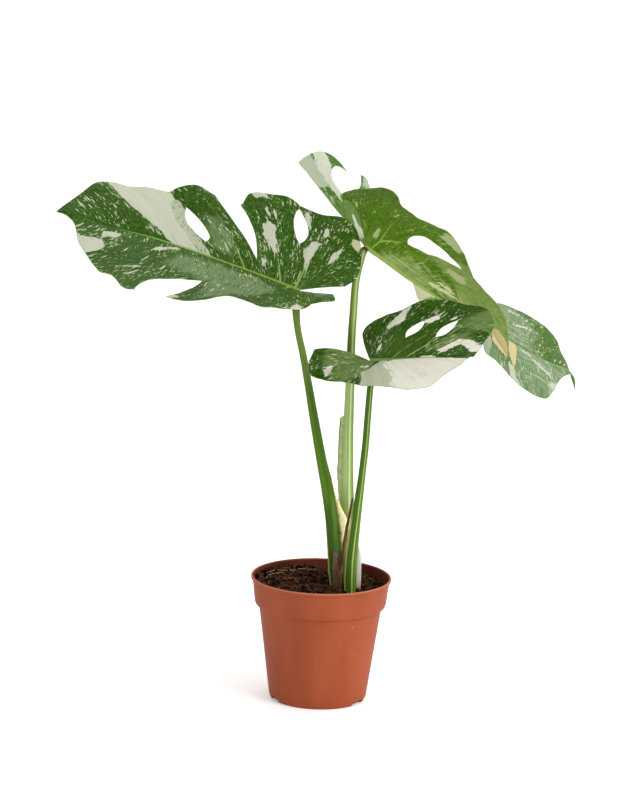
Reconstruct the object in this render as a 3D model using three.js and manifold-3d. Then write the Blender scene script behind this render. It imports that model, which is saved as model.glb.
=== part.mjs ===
// A young variegated monstera with three leaves, growing in a 12 cm nursery pot of brick-red plastic.
// Millimetres, +Z up, the viewer on the -Y side. The origin is the middle of the pot's underside.
import * as THREE from "three";
import Module from "manifold-3d";

const wasm = await Module();
wasm.setup();
const { Manifold, Mesh: SolidMesh } = wasm;

const UP = new THREE.Vector3(0, 0, 1);
const TOUCH_GAP = 0.3;

const group = new THREE.Group();
group.name = "potted_monstera";

function addPiece(name, geometry, color, roughness) {
  const material = new THREE.MeshStandardMaterial({ color, roughness, metalness: 0 });
  const mesh = new THREE.Mesh(geometry, material);
  mesh.name = name;
  group.add(mesh);
}

function geometryFrom(points, faces) {
  const positions = new Float32Array(points.length * 3);
  points.forEach((point, i) => point.toArray(positions, i * 3));
  const geometry = new THREE.BufferGeometry();
  geometry.setAttribute("position", new THREE.BufferAttribute(positions, 3));
  geometry.setIndex(faces.flat());
  return geometry;
}

// Cuts every tool out of a body. All of them are indexed, closed geometries.
function cutOut(body, tools) {
  const solidOf = (geometry) => {
    const mesh = new SolidMesh({
      numProp: 3,
      vertProperties: geometry.attributes.position.array,
      triVerts: new Uint32Array(geometry.index.array),
    });
    return new Manifold(mesh);
  };
  let solid = solidOf(body);
  for (const tool of tools) {
    solid = solid.subtract(solidOf(tool));
  }
  const mesh = solid.getMesh();
  const points = [];
  for (let i = 0; i < mesh.vertProperties.length; i += mesh.numProp) {
    points.push(new THREE.Vector3().fromArray(mesh.vertProperties, i));
  }
  return geometryFrom(points, [Array.from(mesh.triVerts)]);
}

// Joins points that lie on one another and drops the triangles that this leaves without area.
function weld(points, faces) {
  const kept = [];
  const slots = new Map();
  const slotOf = points.map((point) => {
    const key = point.toArray().map((value) => Math.round(value * 1000)).join();
    if (!slots.has(key)) {
      slots.set(key, kept.length);
      kept.push(point);
    }
    return slots.get(key);
  });
  const welded = [];
  for (const face of faces) {
    const [a, b, c] = face.map((i) => slotOf[i]);
    if (a !== b && b !== c && c !== a) {
      welded.push([a, b, c]);
    }
  }
  return { points: kept, faces: welded, slotOf };
}

// Gives a thin sheet its thickness, half of it on each side, with both faces triangulated alike.
// extra holds the depth of a rib under each point, and 0 where there is none.
function thicken(points, faces, thickness, extra) {
  const sheet = weld(points, faces);
  const depth = new Array(sheet.points.length).fill(0);
  extra?.forEach((value, i) => {
    depth[sheet.slotOf[i]] = value;
  });
  const normals = sheet.points.map(() => new THREE.Vector3());
  const edges = new Set();
  for (const [a, b, c] of sheet.faces) {
    const ab = sheet.points[b].clone().sub(sheet.points[a]);
    const ac = sheet.points[c].clone().sub(sheet.points[a]);
    const cross = ab.cross(ac);
    [a, b, c].forEach((i) => normals[i].add(cross));
    edges.add(`${a},${b}`).add(`${b},${c}`).add(`${c},${a}`);
  }
  normals.forEach((normal) => normal.normalize());
  const count = sheet.points.length;
  const half = thickness / 2;
  const upper = sheet.points.map((point, i) => point.clone().addScaledVector(normals[i], half));
  const lower = sheet.points.map((point, i) => point.clone().addScaledVector(normals[i], -half - depth[i]));
  const all = sheet.faces.map((face) => [...face]);
  for (const [a, b, c] of sheet.faces) {
    all.push([a + count, c + count, b + count]);
  }
  for (const edge of edges) {
    const [a, b] = edge.split(",").map(Number);
    if (!edges.has(`${b},${a}`)) {
      all.push([b, a, a + count]);
      all.push([b, a + count, b + count]);
    }
  }
  const normalAt = (place) => {
    const nearest = sheet.points.reduce((best, point, i) =>
      point.distanceTo(place) < sheet.points[best].distanceTo(place) ? i : best, 0);
    return normals[nearest];
  };
  return { geometry: geometryFrom([...upper, ...lower], all), normalAt };
}

// A smooth curve through points: the slope at each point is held back where its two spans differ in length.
function smoothThrough(points, at) {
  const last = points.length - 1;
  const i = Math.min(Math.floor(at), last - 1);
  const slope = (j, span) => {
    const before = points[Math.max(j - 1, 0)];
    const after = points[Math.min(j + 1, last)];
    const run = points[j].distanceTo(before) + points[j].distanceTo(after);
    return after.clone().sub(before).multiplyScalar(span / Math.max(run, 1e-6));
  };
  const span = points[i].distanceTo(points[i + 1]);
  const t = at - i;
  const t2 = t * t;
  const t3 = t2 * t;
  return new THREE.Vector3()
    .addScaledVector(points[i], 2 * t3 - 3 * t2 + 1)
    .addScaledVector(slope(i, span), t3 - 2 * t2 + t)
    .addScaledVector(points[i + 1], 3 * t2 - 2 * t3)
    .addScaledVector(slope(i + 1, span), t3 - t2);
}

// The leaf blades. Each has a frame of its own: the joint with the stalk, m along the midrib, h level and
// away from the viewer, v square to both. A blade has a far half and a near half, which meet at the midrib.
// A half is spun over its side veins. Each row is one vein: where it leaves the midrib, as a part of the
// midrib's length, and where it ends on the margin, as millimetres along m, h and v. The first rows leave
// from the joint itself and fan out backwards, round the heart-shaped base. A vein arches up by the half's
// lift, or by a fifth number of its own, and bows towards the joint by the half's sweep.
// A gap lies at vein `beside`, from `from` to `to` of the veins' length, and is `open` veins wide to each
// side: a hole where it closes again, a slit where it runs out through the margin. A belly widens its middle,
// its lean is how many veins on it lies at the margin, and its skew opens the right side more than the left.
const BLADE_THICKNESS = 0.8;
const RIB_DEPTH = 1.2;
const RIB_TAPER = 0.8;
const ROWS = [0, 0.06, 0.21, 0.36, 0.48, 0.6, 0.72, 0.84, 0.94, 1];
const WIDE_SPAN = 22;
const THROUGH = 2;
const FULL_REACH = 60;

const LEAVES = {
  left: {
    joint: [-28, -20, 361],
    heading: 169.6,
    rise: 14,
    farSide: -1,
    length: 217,
    midrib: [[0, 0], [0.2, 3], [0.45, 5], [0.62, 5], [0.78, 3], [0.95, 4], [1, 1]],
    far: {
      lift: 5,
      sweep: 0.1,
      veins: [
        [0, -36, 14, 12],
        [0, -43, 22, 21],
        [0, -40, 34, 37],
        [0, -29, 48, 53],
        [0, -15, 54, 60],
        [0, 5, 52, 57],
        [0.03, 23, 54, 58],
        [0.06, 37, 59, 61],
        [0.09, 55, 57, 59],
        [0.12, 70, 55, 55],
        [0.145, 74, 45, 45],
        [0.175, 99, 48, 46],
        [0.22, 115, 50, 49],
        [0.27, 129, 47, 43],
        [0.31, 136, 44, 37],
        [0.4, 153, 43, 36],
        [0.5, 171, 39, 32],
        [0.6, 188, 37, 31],
        [0.7, 197, 33, 28],
        [0.79, 204, 23, 19],
        [0.88, 210, 13, 11],
        [0.95, 215, 5, 4],
      ],
      gaps: [
        { beside: 6.25, from: 0.51, to: 0.94, open: 0.6 },
        { beside: 10.45, from: 0.21, to: THROUGH, open: 0.5, belly: 0.2 },
        { beside: 14.5, from: 0.24, to: 0.77, open: 0.5, lean: -1 },
      ],
    },
    near: {
      lift: 4,
      sweep: 0.34,
      veins: [
        [0, -27, 24, 0],
        [0, -32, 4, 0],
        [0, -20, -20, -1],
        [0, -13, -50, -3],
        [0.03, -2, -65, -3],
        [0.09, 14, -76, -4],
        [0.16, 33, -71, -5],
        [0.22, 48, -71, -7],
        [0.27, 62, -80, -13],
        [0.31, 75, -83, -18],
        [0.36, 90, -80, -20],
        [0.4, 106, -80, -20.5],
        [0.45, 123, -83, -22.5],
        [0.5, 132, -77, -24],
        [0.55, 144, -64, -21],
        [0.6, 156, -60, -22],
        [0.7, 171, -44, -18],
        [0.79, 187, -27, -11],
        [0.88, 198, -6, -3],
        [0.95, 208, -1, 1],
      ],
      gaps: [{ beside: 10.25, from: 0.55, to: THROUGH, open: 0.78, belly: 0.75, skew: 0.95 }],
    },
  },
  back: {
    joint: [29, 66, 384],
    heading: 26.9,
    rise: -30.7,
    farSide: 1,
    length: 257,
    midrib: [
      [0, 0],
      [0.1, -2],
      [0.2, -4],
      [0.35, -4.5],
      [0.5, -5],
      [0.72, -5],
      [0.85, -3],
      [0.94, 0],
      [0.975, -3],
      [1, -12],
    ],
    far: {
      lift: 3,
      sweep: 0.1,
      veins: [
        [0, -70, 52, 37],
        [0, -64, 59, 43],
        [0, -53, 67, 53],
        [0, -37, 75, 59],
        [0, -25, 74, 58],
        [0.01, -15, 69, 54],
        [0.04, 2, 77, 58.5],
        [0.07, 15, 81, 57],
        [0.1, 30, 84, 42],
        [0.15, 52, 86, 22],
        [0.2, 72, 86, 18],
        [0.26, 88, 80, 12],
        [0.32, 104, 78, 0],
        [0.38, 118, 74, -10],
        [0.44, 134, 66, -6],
        [0.5, 152, 58, 8],
        [0.56, 165, 40, 21],
        [0.64, 190, 45, 26],
        [0.72, 218, 44, 27],
        [0.79, 232, 36, 23],
        [0.86, 239, 26, 14],
        [0.93, 245, 6, 1],
      ],
      gaps: [
        { beside: 2.1, from: 0.48, to: THROUGH, open: 0.55, belly: 1.2, lean: 3.4, skew: 0.1 },
        { beside: 8.5, from: 0.3, to: THROUGH, open: 0.4 },
        { beside: 11.5, from: 0.3, to: THROUGH, open: 0.4 },
        { beside: 14.5, from: 0.3, to: THROUGH, open: 0.45 },
      ],
    },
    near: {
      lift: 21,
      sweep: 0.1,
      veins: [
        [0, -59, -31, 21],
        [0, -66, -40, 26],
        [0, -60, -59, 37],
        [0, -46, -73, 46],
        [0, -22, -64, 40],
        [0, -3, -62, 39],
        [0.02, 14, -66, 41],
        [0.05, 32, -66, 41],
        [0.08, 54, -59, 34],
        [0.11, 74, -46, 27],
        [0.15, 89, -36, 23],
        [0.19, 103, -38, 18],
        [0.23, 121, -42, 13],
        [0.28, 135, -44, 3],
        [0.33, 153, -43, -21],
        [0.37, 143, -36, -9],
        [0.41, 133, -29, 0],
        [0.45, 124, -20, 8],
        [0.5, 141, -20, -24],
        [0.56, 157, -23, -28],
        [0.64, 180, -29, -35],
        [0.7, 199, -31, -37],
        [0.76, 216, -29, -34],
        [0.81, 224, -21, -25],
        [0.86, 234, -7, -9],
        [0.93, 245, -2, -2],
      ],
      gaps: [
        { beside: 7.35, from: 0.31, to: 0.82, open: 1.02, lean: 3.9 },
        { beside: 17.5, from: 0.2, to: THROUGH, open: 0.5 },
      ],
    },
  },
  front: {
    joint: [35.5, -30, 304.4],
    heading: -32.9,
    rise: 10.3,
    farSide: 1,
    length: 103,
    midrib: [[0, 0], [0.3, 0.6], [0.6, 0.4], [0.8, -0.2], [1, 0]],
    far: {
      lift: 4,
      sweep: 0.1,
      veins: [
        [0, -19, 21, 21],
        [0, -15, 25, 27],
        [0, -1, 31, 34],
        [0.03, 15, 36, 38],
        [0.07, 33, 41, 44],
        [0.13, 57, 42, 43],
        [0.19, 78, 40, 38],
        [0.29, 96, 39, 35],
        [0.4, 103, 36, 28],
        [0.5, 107, 31, 21],
        [0.6, 105, 26, 14],
        [0.75, 103, 16, 8],
        [0.88, 103, 8, 4],
      ],
      gaps: [
        { beside: 5.3, from: 0.36, to: 0.62, open: 0.4 },
        { beside: 7.8, from: 0.42, to: 0.72, open: 0.42, lean: -1.7 },
      ],
    },
    near: {
      lift: 3,
      sweep: 0.1,
      veins: [
        [0, -35, -30, 16, 12],
        [0, -40, -34, 5],
        [0, -38, -37, -4],
        [0, -23, -41, -9],
        [0, -6, -36, -12],
        [0.03, 16, -41, -15],
        [0.07, 41, -44, -16],
        [0.13, 65, -47, -19],
        [0.19, 72, -43, -19],
        [0.29, 80, -37, -18],
        [0.4, 87, -23, -11],
        [0.6, 97, -12, -5],
        [0.75, 99, -4, -1],
      ],
      gaps: [],
    },
  },
};

function leafPlacer({ joint, heading, rise, farSide }) {
  const turn = THREE.MathUtils.degToRad(heading);
  const climb = THREE.MathUtils.degToRad(rise);
  const m = new THREE.Vector3(
    Math.cos(turn) * Math.cos(climb),
    Math.sin(turn) * Math.cos(climb),
    Math.sin(climb),
  );
  const h = new THREE.Vector3(-Math.sin(turn), Math.cos(turn), 0).multiplyScalar(farSide);
  const v = m.clone().cross(h).multiplyScalar(farSide);
  const origin = new THREE.Vector3(...joint);
  return (point) =>
    origin.clone().addScaledVector(m, point.x).addScaledVector(h, point.y).addScaledVector(v, point.z);
}

// Where value lies in a rising list: a whole number on an entry, and part way between two.
function placeIn(list, value) {
  let i = 0;
  while (i < list.length - 2 && list[i + 1] < value) {
    i += 1;
  }
  return i + (value - list[i]) / (list[i + 1] - list[i]);
}

function midribAt(leaf, part) {
  const knots = leaf.midrib.map(([at, up]) => new THREE.Vector3(at * leaf.length, 0, up));
  return smoothThrough(knots, placeIn(leaf.midrib.map(([at]) => at), part));
}

// The surface of one half. k counts the veins, and t runs along a vein, from 0 on the midrib to 1 on the
// margin.
function halfSurface(leaf, half) {
  const feet = [...half.veins.map(([foot]) => foot), 1];
  const tips = half.veins.map(([, m, h, v]) => new THREE.Vector3(m, h, v));
  tips.push(midribAt(leaf, 1));
  const bends = tips.map((tip, i) => {
    const foot = midribAt(leaf, feet[i]);
    const reach = tip.distanceTo(foot);
    const arch = half.veins[i]?.[4] ?? half.lift;
    const rise = arch * Math.min(reach / FULL_REACH, 1);
    return foot.add(tip).multiplyScalar(0.5).add(new THREE.Vector3(-half.sweep * reach, 0, rise));
  });
  const footAt = (k) => {
    const i = Math.min(Math.floor(k), feet.length - 2);
    return feet[i] + (feet[i + 1] - feet[i]) * (k - i);
  };
  const veinOf = (part) => {
    let i = feet.length - 2;
    while (feet[i] > part) {
      i -= 1;
    }
    return i + (part - feet[i]) / (feet[i + 1] - feet[i]);
  };
  const pointAt = (k, t) =>
    midribAt(leaf, footAt(k)).multiplyScalar((1 - t) * (1 - t))
      .addScaledVector(smoothThrough(bends, k), 2 * t * (1 - t))
      .addScaledVector(smoothThrough(tips, k), t * t);
  return { feet, tips, footAt, veinOf, pointAt };
}

// Half the width of a gap, in veins. A slit flares from its inner end, and a hole is widest nearer to it.
const SLIT_FLARE = 0.7;
const HOLE_ROUNDING = 0.8;

function gapWidth(gap, t) {
  if (t <= gap.from || t >= gap.to) {
    return 0;
  }
  if (gap.to === THROUGH) {
    const along = (t - gap.from) / (1 - gap.from);
    return gap.open * Math.pow(along, SLIT_FLARE) + (gap.belly ?? 0) * Math.sin(Math.PI * along);
  }
  const along = (t - gap.from) / (gap.to - gap.from);
  return gap.open * Math.pow(Math.sin(Math.PI * Math.pow(along, HOLE_ROUNDING)), HOLE_ROUNDING);
}

// The vein that the left side (-1) or the right side (1) of a gap follows.
function gapSide(gap, t, side) {
  const share = side + (gap.skew ?? 0);
  return gap.beside + (gap.lean ?? 0) * t * t + share * gapWidth(gap, t);
}

// Both halves use the same places along the midrib, so that they share its points, no two of them closer
// than CLEAR_PART of its length. Round the base, no two columns are closer than CLEAR_VEINS of a vein.
const CLEAR_PART = 0.011;
const CLEAR_VEINS = 0.3;

function midribParts(surfaces, halves) {
  const gapParts = surfaces
    .flatMap((surface, i) => halves[i].gaps.map((gap) => surface.footAt(gap.beside)))
    .filter((part) => part > 0);
  const others = [1];
  surfaces.forEach(({ feet, tips }) => {
    others.push(...feet);
    for (let k = 0; k < feet.length - 2; k += 1) {
      if (feet[k + 1] > 0 && tips[k].distanceTo(tips[k + 1]) > WIDE_SPAN) {
        others.push((feet[k] + feet[k + 1]) / 2);
      }
    }
  });
  others.sort((a, b) => a - b);
  const clearOf = (list, part) => list.every((other) => Math.abs(other - part) > CLEAR_PART);
  const kept = [];
  for (const part of others) {
    if (part > 0 && clearOf(kept, part) && clearOf(gapParts, part)) {
      kept.push(part);
    }
  }
  return [...kept, ...gapParts].sort((a, b) => a - b);
}

function bladeSheet(leaf) {
  const place = leafPlacer(leaf);
  const halves = [leaf.far, leaf.near];
  const surfaces = halves.map((half) => halfSurface(leaf, half));
  const parts = midribParts(surfaces, halves);
  const points = [];
  const faces = [];
  const ribDepths = [];
  halves.forEach((half, side) => {
    const surface = surfaces[side];
    // Between two gaps the columns draw together by as much as the gaps open.
    const veinAt = (k, t, rightSide) => {
      const here = half.gaps.find((gap) => gap.beside === k);
      if (here) {
        return gapSide(here, t, rightSide ? 1 : -1);
      }
      const before = half.gaps.filter((gap) => gap.beside < k).pop();
      const after = half.gaps.find((gap) => gap.beside > k);
      const start = before ? before.beside : 0;
      const end = after ? after.beside : surface.feet.length - 1;
      const from = before ? gapSide(before, t, 1) : 0;
      const to = after ? gapSide(after, t, -1) : end;
      return from + ((k - start) / (end - start)) * (to - from);
    };
    const columns = half.gaps.map((gap) => gap.beside).filter((k) => surface.footAt(k) === 0);
    const addFanColumn = (k) => {
      if (columns.every((other) => Math.abs(other - k) > CLEAR_VEINS)) {
        columns.push(k);
      }
    };
    for (let k = 0; surface.feet[k] === 0; k += 1) {
      addFanColumn(k);
      const from = surface.pointAt(veinAt(k, 1, true), 1);
      const to = surface.pointAt(veinAt(k + 1, 1, false), 1);
      if (from.distanceTo(to) > WIDE_SPAN && surface.feet[k + 1] === 0) {
        addFanColumn(k + 0.5);
      }
    }
    columns.sort((a, b) => a - b);
    parts.forEach((part) => {
      const gap = half.gaps.find((each) => surface.footAt(each.beside) === part);
      columns.push(gap ? gap.beside : surface.veinOf(part));
    });
    const addPoint = (k, t, rightSide) => {
      const vein = veinAt(k, t, rightSide);
      points.push(place(surface.pointAt(vein, t)));
      ribDepths.push(t === 0 ? RIB_DEPTH * (1 - RIB_TAPER * surface.footAt(k)) : 0);
      return points.length - 1;
    };
    const turned = (side === 0 ? 1 : -1) * leaf.farSide < 0;
    for (let i = 0; i + 1 < columns.length; i += 1) {
      const left = ROWS.map((t) => addPoint(columns[i], t, true));
      const right = ROWS.map((t) => addPoint(columns[i + 1], t, false));
      for (let j = 0; j + 1 < ROWS.length; j += 1) {
        const a = [left[j], right[j], left[j + 1]];
        const b = [right[j], right[j + 1], left[j + 1]];
        faces.push(turned ? a.reverse() : a);
        faces.push(turned ? b.reverse() : b);
      }
    }
  });
  return { points, faces, ribDepths };
}

const BLADE_GREEN = 0x3f6a2a;
const joints = {};
for (const [name, leaf] of Object.entries(LEAVES)) {
  const { points, faces, ribDepths } = bladeSheet(leaf);
  const { geometry, normalAt } = thicken(points, faces, BLADE_THICKNESS, ribDepths);
  addPiece(`blade_${name}`, geometry, BLADE_GREEN, 0.4);
  const joint = new THREE.Vector3(...leaf.joint);
  joints[name] = { joint, normal: normalAt(joint) };
}

// The leaf stalks. Each row is one place on the stalk's middle line, the width and the depth of its section
// there, and how far the thin wings of its sheath stand out on the left and on the right.
// The lowest rows stand in the soil. The top is a round cap that faces the rib under the joint.
const STALKS = {
  left: {
    color: 0x55822f,
    rows: [
      [[13.4, -4, 80], 7.5, 6.5, 0, 0],
      [[13.1, -4, 96.7], 8, 7, 0.5, 0.5],
      [[11.6, -4, 110], 8.5, 7.2, 1, 1.5],
      [[9.8, -5, 132.4], 9.5, 7.4, 0.6, 3.4],
      [[6.8, -6, 159], 9.6, 7.2, 0, 3.2],
      [[2.5, -8, 186], 9.6, 7, 0, 1.4],
      [[-3, -9.5, 212], 8.8, 6.8, 0, 0],
      [[-11.1, -12, 252], 7.6, 6.4, 0, 0],
      [[-16.1, -14, 278], 6.7, 6.2, 0, 0],
      [[-21.6, -16, 305], 6, 6, 0, 0],
      [[-27, -18, 329], 5.6, 5.8, 0, 0],
    ],
    neck: 12,
    neckWidth: 6.8,
  },
  back: {
    color: 0x7f9f55,
    rows: [
      [[24.4, 8, 80], 8, 7, 0, 0],
      [[23.9, 8, 107], 10, 7.5, 0, 0],
      [[22.2, 10, 133], 11.5, 8, 0, 0],
      [[20, 14, 172], 12, 8, 0.6, 0],
      [[18.9, 18, 193], 11.6, 8, 2, 0],
      [[18.2, 26, 231], 10.4, 7.6, 1.6, 0],
      [[18.9, 32, 256], 9, 7.4, 0, 0],
      [[19.3, 38, 281], 7.8, 7, 0, 0],
      [[19.3, 44, 306], 7, 6.8, 0, 0],
      [[20.2, 52, 331], 6.6, 6.6, 0, 0],
      [[21.5, 59, 356], 6.4, 6.4, 0, 0],
    ],
    neck: 13,
    neckWidth: 6.6,
  },
  front: {
    color: 0x4f7f2c,
    rows: [
      [[25.2, -14, 80], 9, 8, 0, 0],
      [[25.2, -14, 95.4], 10, 8.6, 0, 0],
      [[24.8, -14, 108.7], 10.6, 8.6, 0, 0],
      [[25.2, -14.2, 126.4], 10.4, 8.2, 0, 0],
      [[27.1, -16, 153.5], 9.2, 7.6, 0, 0],
      [[29.3, -18, 176], 7.6, 7, 0, 0],
      [[31.8, -20, 203], 6.2, 6.2, 0, 0],
      [[33.9, -22, 230], 6, 6, 0, 0],
      [[35, -25, 256.5], 5.8, 5.8, 0, 0],
      [[36.2, -27.5, 281], 5.6, 5.6, 0, 0],
    ],
    neck: 10,
    neckWidth: 6,
  },
};
const STALK_SIDES = 12;
const STALK_STEPS_A_ROW = 2;

function stalkRows(stalk, { joint, normal }) {
  const rows = stalk.rows.map(([at, wide, deep, leftWing, rightWing]) => ({
    at: new THREE.Vector3(...at),
    size: new THREE.Vector3(wide, deep, 0),
    wings: new THREE.Vector3(leftWing, rightWing, 0),
  }));
  const below = BLADE_THICKNESS / 2 + RIB_DEPTH + TOUCH_GAP;
  for (const [distance, scale] of [[below + stalk.neck * 0.5, 1.05], [below, 0.9]]) {
    rows.push({
      at: joint.clone().addScaledVector(normal, -distance),
      size: new THREE.Vector3(stalk.neckWidth * scale, stalk.neckWidth * scale, 0),
      wings: new THREE.Vector3(),
    });
  }
  return rows;
}

// A closed tube over a stalk's rows. grow widens it all round, for the hole that it stands in.
function stalkTube(stalk, top, grow) {
  const rows = stalkRows(stalk, top);
  const lines = ["at", "size", "wings"].map((key) => rows.map((row) => row[key]));
  const points = [];
  const faces = [];
  const last = (rows.length - 1) * STALK_STEPS_A_ROW;
  const alongRows = (step, line) =>
    smoothThrough(lines[line], Math.min(step / STALK_STEPS_A_ROW, rows.length - 1));
  for (let step = 0; step <= last; step += 1) {
    const at = alongRows(step, 0);
    const size = alongRows(step, 1);
    const wings = alongRows(step, 2);
    const tangent = alongRows(Math.min(step + 0.1, last), 0).sub(alongRows(Math.max(step - 0.1, 0), 0));
    tangent.normalize();
    if (step === last) {
      tangent.copy(top.normal);
    }
    const right = new THREE.Vector3(1, 0, 0);
    right.addScaledVector(tangent, -right.dot(tangent)).normalize();
    const back = tangent.clone().cross(right);
    if (step === 0) {
      at.addScaledVector(tangent, -grow);
    }
    for (let i = 0; i < STALK_SIDES; i += 1) {
      const angle = (i / STALK_SIDES) * 2 * Math.PI;
      const wing = i === 0 ? wings.y : i === STALK_SIDES / 2 ? wings.x : 0;
      const x = Math.cos(angle) * (size.x / 2 + Math.max(wing, 0) + grow);
      const y = Math.sin(angle) * (size.y / 2 + grow);
      points.push(at.clone().addScaledVector(right, x).addScaledVector(back, y));
    }
  }
  for (let step = 0; step < last; step += 1) {
    for (let i = 0; i < STALK_SIDES; i += 1) {
      const a = step * STALK_SIDES + i;
      const b = step * STALK_SIDES + ((i + 1) % STALK_SIDES);
      faces.push([a, b, a + STALK_SIDES]);
      faces.push([b, b + STALK_SIDES, a + STALK_SIDES]);
    }
  }
  const topStart = last * STALK_SIDES;
  for (let i = 1; i + 1 < STALK_SIDES; i += 1) {
    faces.push([0, i + 1, i]);
    faces.push([topStart, topStart + i, topStart + i + 1]);
  }
  return geometryFrom(points, faces);
}

for (const [name, stalk] of Object.entries(STALKS)) {
  addPiece(`stalk_${name}`, stalkTube(stalk, joints[name], 0), stalk.color, 0.45);
}

// The thin sheaths and dried scale leaves round the foot of the stalks. Each row runs from the left edge to
// the right edge at one height, and bulges towards the viewer by the last number.
const SHEATHS = {
  sheath_cream: {
    color: 0xe9e2c0,
    rows: [
      [[12.5, 1.5, 90], [17.5, 1.5, 90], 0.5],
      [[11.8, 1.5, 112], [18, 1.5, 112], 0.6],
      [[11, 1.5, 132], [18.6, 2, 132], 0.8],
      [[10.4, 2, 148], [20.4, 3, 146], 0.8],
      [[10.2, 3, 160], [21.2, 4.5, 156], 0.6],
      [[10.3, 4, 170], [16, 5, 166], 0.4],
      [[10.5, 4.5, 176], [12.5, 5, 174.5], 0.2],
    ],
  },
  sheath_white: {
    color: 0xdfe3cf,
    rows: [
      [[27.6, -6.4, 90], [33.2, -7, 90], 0],
      [[27.6, -6.2, 104], [34.2, -7, 103], 0.2],
      [[27.4, -6, 120], [34, -7, 120], 0.4],
      [[28.2, -6, 132], [33, -7, 132], 0.4],
      [[29.4, -6.6, 139], [31, -7, 138.5], 0.1],
    ],
  },
  scale_brown: {
    color: 0x7a5a44,
    rows: [
      [[10.6, -9.6, 90], [18, -11.4, 90], 0.6],
      [[10, -9.8, 104], [18, -11.6, 104], 0.8],
      [[9.6, -10.4, 118], [17.6, -12, 118], 0.8],
      [[9.4, -10.8, 127], [15, -11.8, 128], 0.5],
      [[9.8, -11.2, 133], [11.4, -11.4, 133], 0.1],
    ],
  },
  sheath_brown: {
    color: 0x4a3226,
    rows: [
      [[15.4, -16.4, 90], [18.6, -17.4, 90], 0],
      [[14.8, -15.4, 112], [18.4, -16.4, 112], 0.2],
      [[15.8, -14.8, 130], [19, -16, 130], 0.2],
      [[18.6, -14.8, 152], [21.6, -16.4, 152], 0.2],
      [[21.8, -15.2, 170], [24, -16.8, 170], 0.1],
      [[24, -16, 182], [25, -16.8, 182], 0],
    ],
  },
};
const SHEATH_THICKNESS = 0.8;
const SHEATH_COLUMNS = 4;

function sheathSheet(rows) {
  const points = [];
  const faces = [];
  rows.forEach(([left, right, bulge], row) => {
    for (let i = 0; i <= SHEATH_COLUMNS; i += 1) {
      const u = i / SHEATH_COLUMNS;
      const point = new THREE.Vector3(...left).lerp(new THREE.Vector3(...right), u);
      point.y -= bulge * 4 * u * (1 - u);
      points.push(point);
      if (row > 0 && i > 0) {
        const here = row * (SHEATH_COLUMNS + 1) + i;
        const under = here - SHEATH_COLUMNS - 1;
        faces.push([under - 1, under, here - 1]);
        faces.push([under, here, here - 1]);
      }
    }
  });
  return { points, faces };
}

for (const [name, sheath] of Object.entries(SHEATHS)) {
  const { points, faces } = sheathSheet(sheath.rows);
  addPiece(name, thicken(points, faces, SHEATH_THICKNESS).geometry, sheath.color, 0.6);
}

// The potting soil fills the pot to about 7 mm below the rim, higher at the back left than at the front
// right, with a lumpy top and a plain hole for each stalk and sheath. Each number pair of the side is a
// radius and a height.
const SOIL_COLOR = 0x2b1f18;
const SOIL_SIDE = [[38.8, 2.1], [40, 3.4], [50.9, 80.6], [54.4, 86], [56, 97]];
const SOIL_RINGS = 8;
const SOIL_SECTORS = 32;
const SOIL_LEVEL = 100.5;
const SOIL_SLOPE = { x: -0.055, y: 0.035 };
const SOIL_MOUND = { x: -30, y: 14, radius: 22, high: 2 };
const SOIL_LUMPS = [
  { high: 0.8, along: 0.31, across: 0.27, shift: 1.3 },
  { high: 0.6, along: 0.67, across: 0.53, shift: 0.4 },
  { high: 0.5, along: 1.7, across: 1.3, shift: 2.1 },
];
const SOIL_EDGE_DROP = 1.2;
const HOLE_GROW = 0.35;

function soilHeight(x, y, reach) {
  const slope = SOIL_SLOPE.x * x + SOIL_SLOPE.y * y;
  const away = Math.hypot(x - SOIL_MOUND.x, y - SOIL_MOUND.y) / SOIL_MOUND.radius;
  const mound = SOIL_MOUND.high * Math.exp(-away * away);
  const lumps = SOIL_LUMPS.map(({ high, along, across, shift }) =>
    high * Math.sin(x * along + shift) * Math.cos(y * across + shift));
  const edgeDrop = SOIL_EDGE_DROP * reach ** 4;
  return lumps.reduce((sum, lump) => sum + lump, SOIL_LEVEL + slope + mound - edgeDrop);
}

function soilBody() {
  const points = [new THREE.Vector3(0, 0, soilHeight(0, 0, 0))];
  const faces = [];
  const edge = SOIL_SIDE.at(-1)[0];
  const rings = [];
  for (let ring = 1; ring <= SOIL_RINGS; ring += 1) {
    rings.push({ radius: (edge * ring) / SOIL_RINGS, height: null });
  }
  for (const [radius, height] of [...SOIL_SIDE].reverse()) {
    rings.push({ radius, height });
  }
  rings.forEach(({ radius, height }, ring) => {
    for (let i = 0; i < SOIL_SECTORS; i += 1) {
      const angle = (i / SOIL_SECTORS) * 2 * Math.PI;
      const x = radius * Math.cos(angle);
      const y = radius * Math.sin(angle);
      points.push(new THREE.Vector3(x, y, height ?? soilHeight(x, y, radius / edge)));
      const next = (i + 1) % SOIL_SECTORS;
      const here = 1 + ring * SOIL_SECTORS;
      if (ring === 0) {
        faces.push([0, here + i, here + next]);
      } else {
        const inner = here - SOIL_SECTORS;
        faces.push([inner + i, here + i, inner + next]);
        faces.push([inner + next, here + i, here + next]);
      }
    }
  });
  const lowest = 1 + (rings.length - 1) * SOIL_SECTORS;
  const [, floor] = SOIL_SIDE[0];
  points.push(new THREE.Vector3(0, 0, floor));
  for (let i = 0; i < SOIL_SECTORS; i += 1) {
    faces.push([points.length - 1, lowest + ((i + 1) % SOIL_SECTORS), lowest + i]);
  }
  return geometryFrom(points, faces);
}

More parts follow.
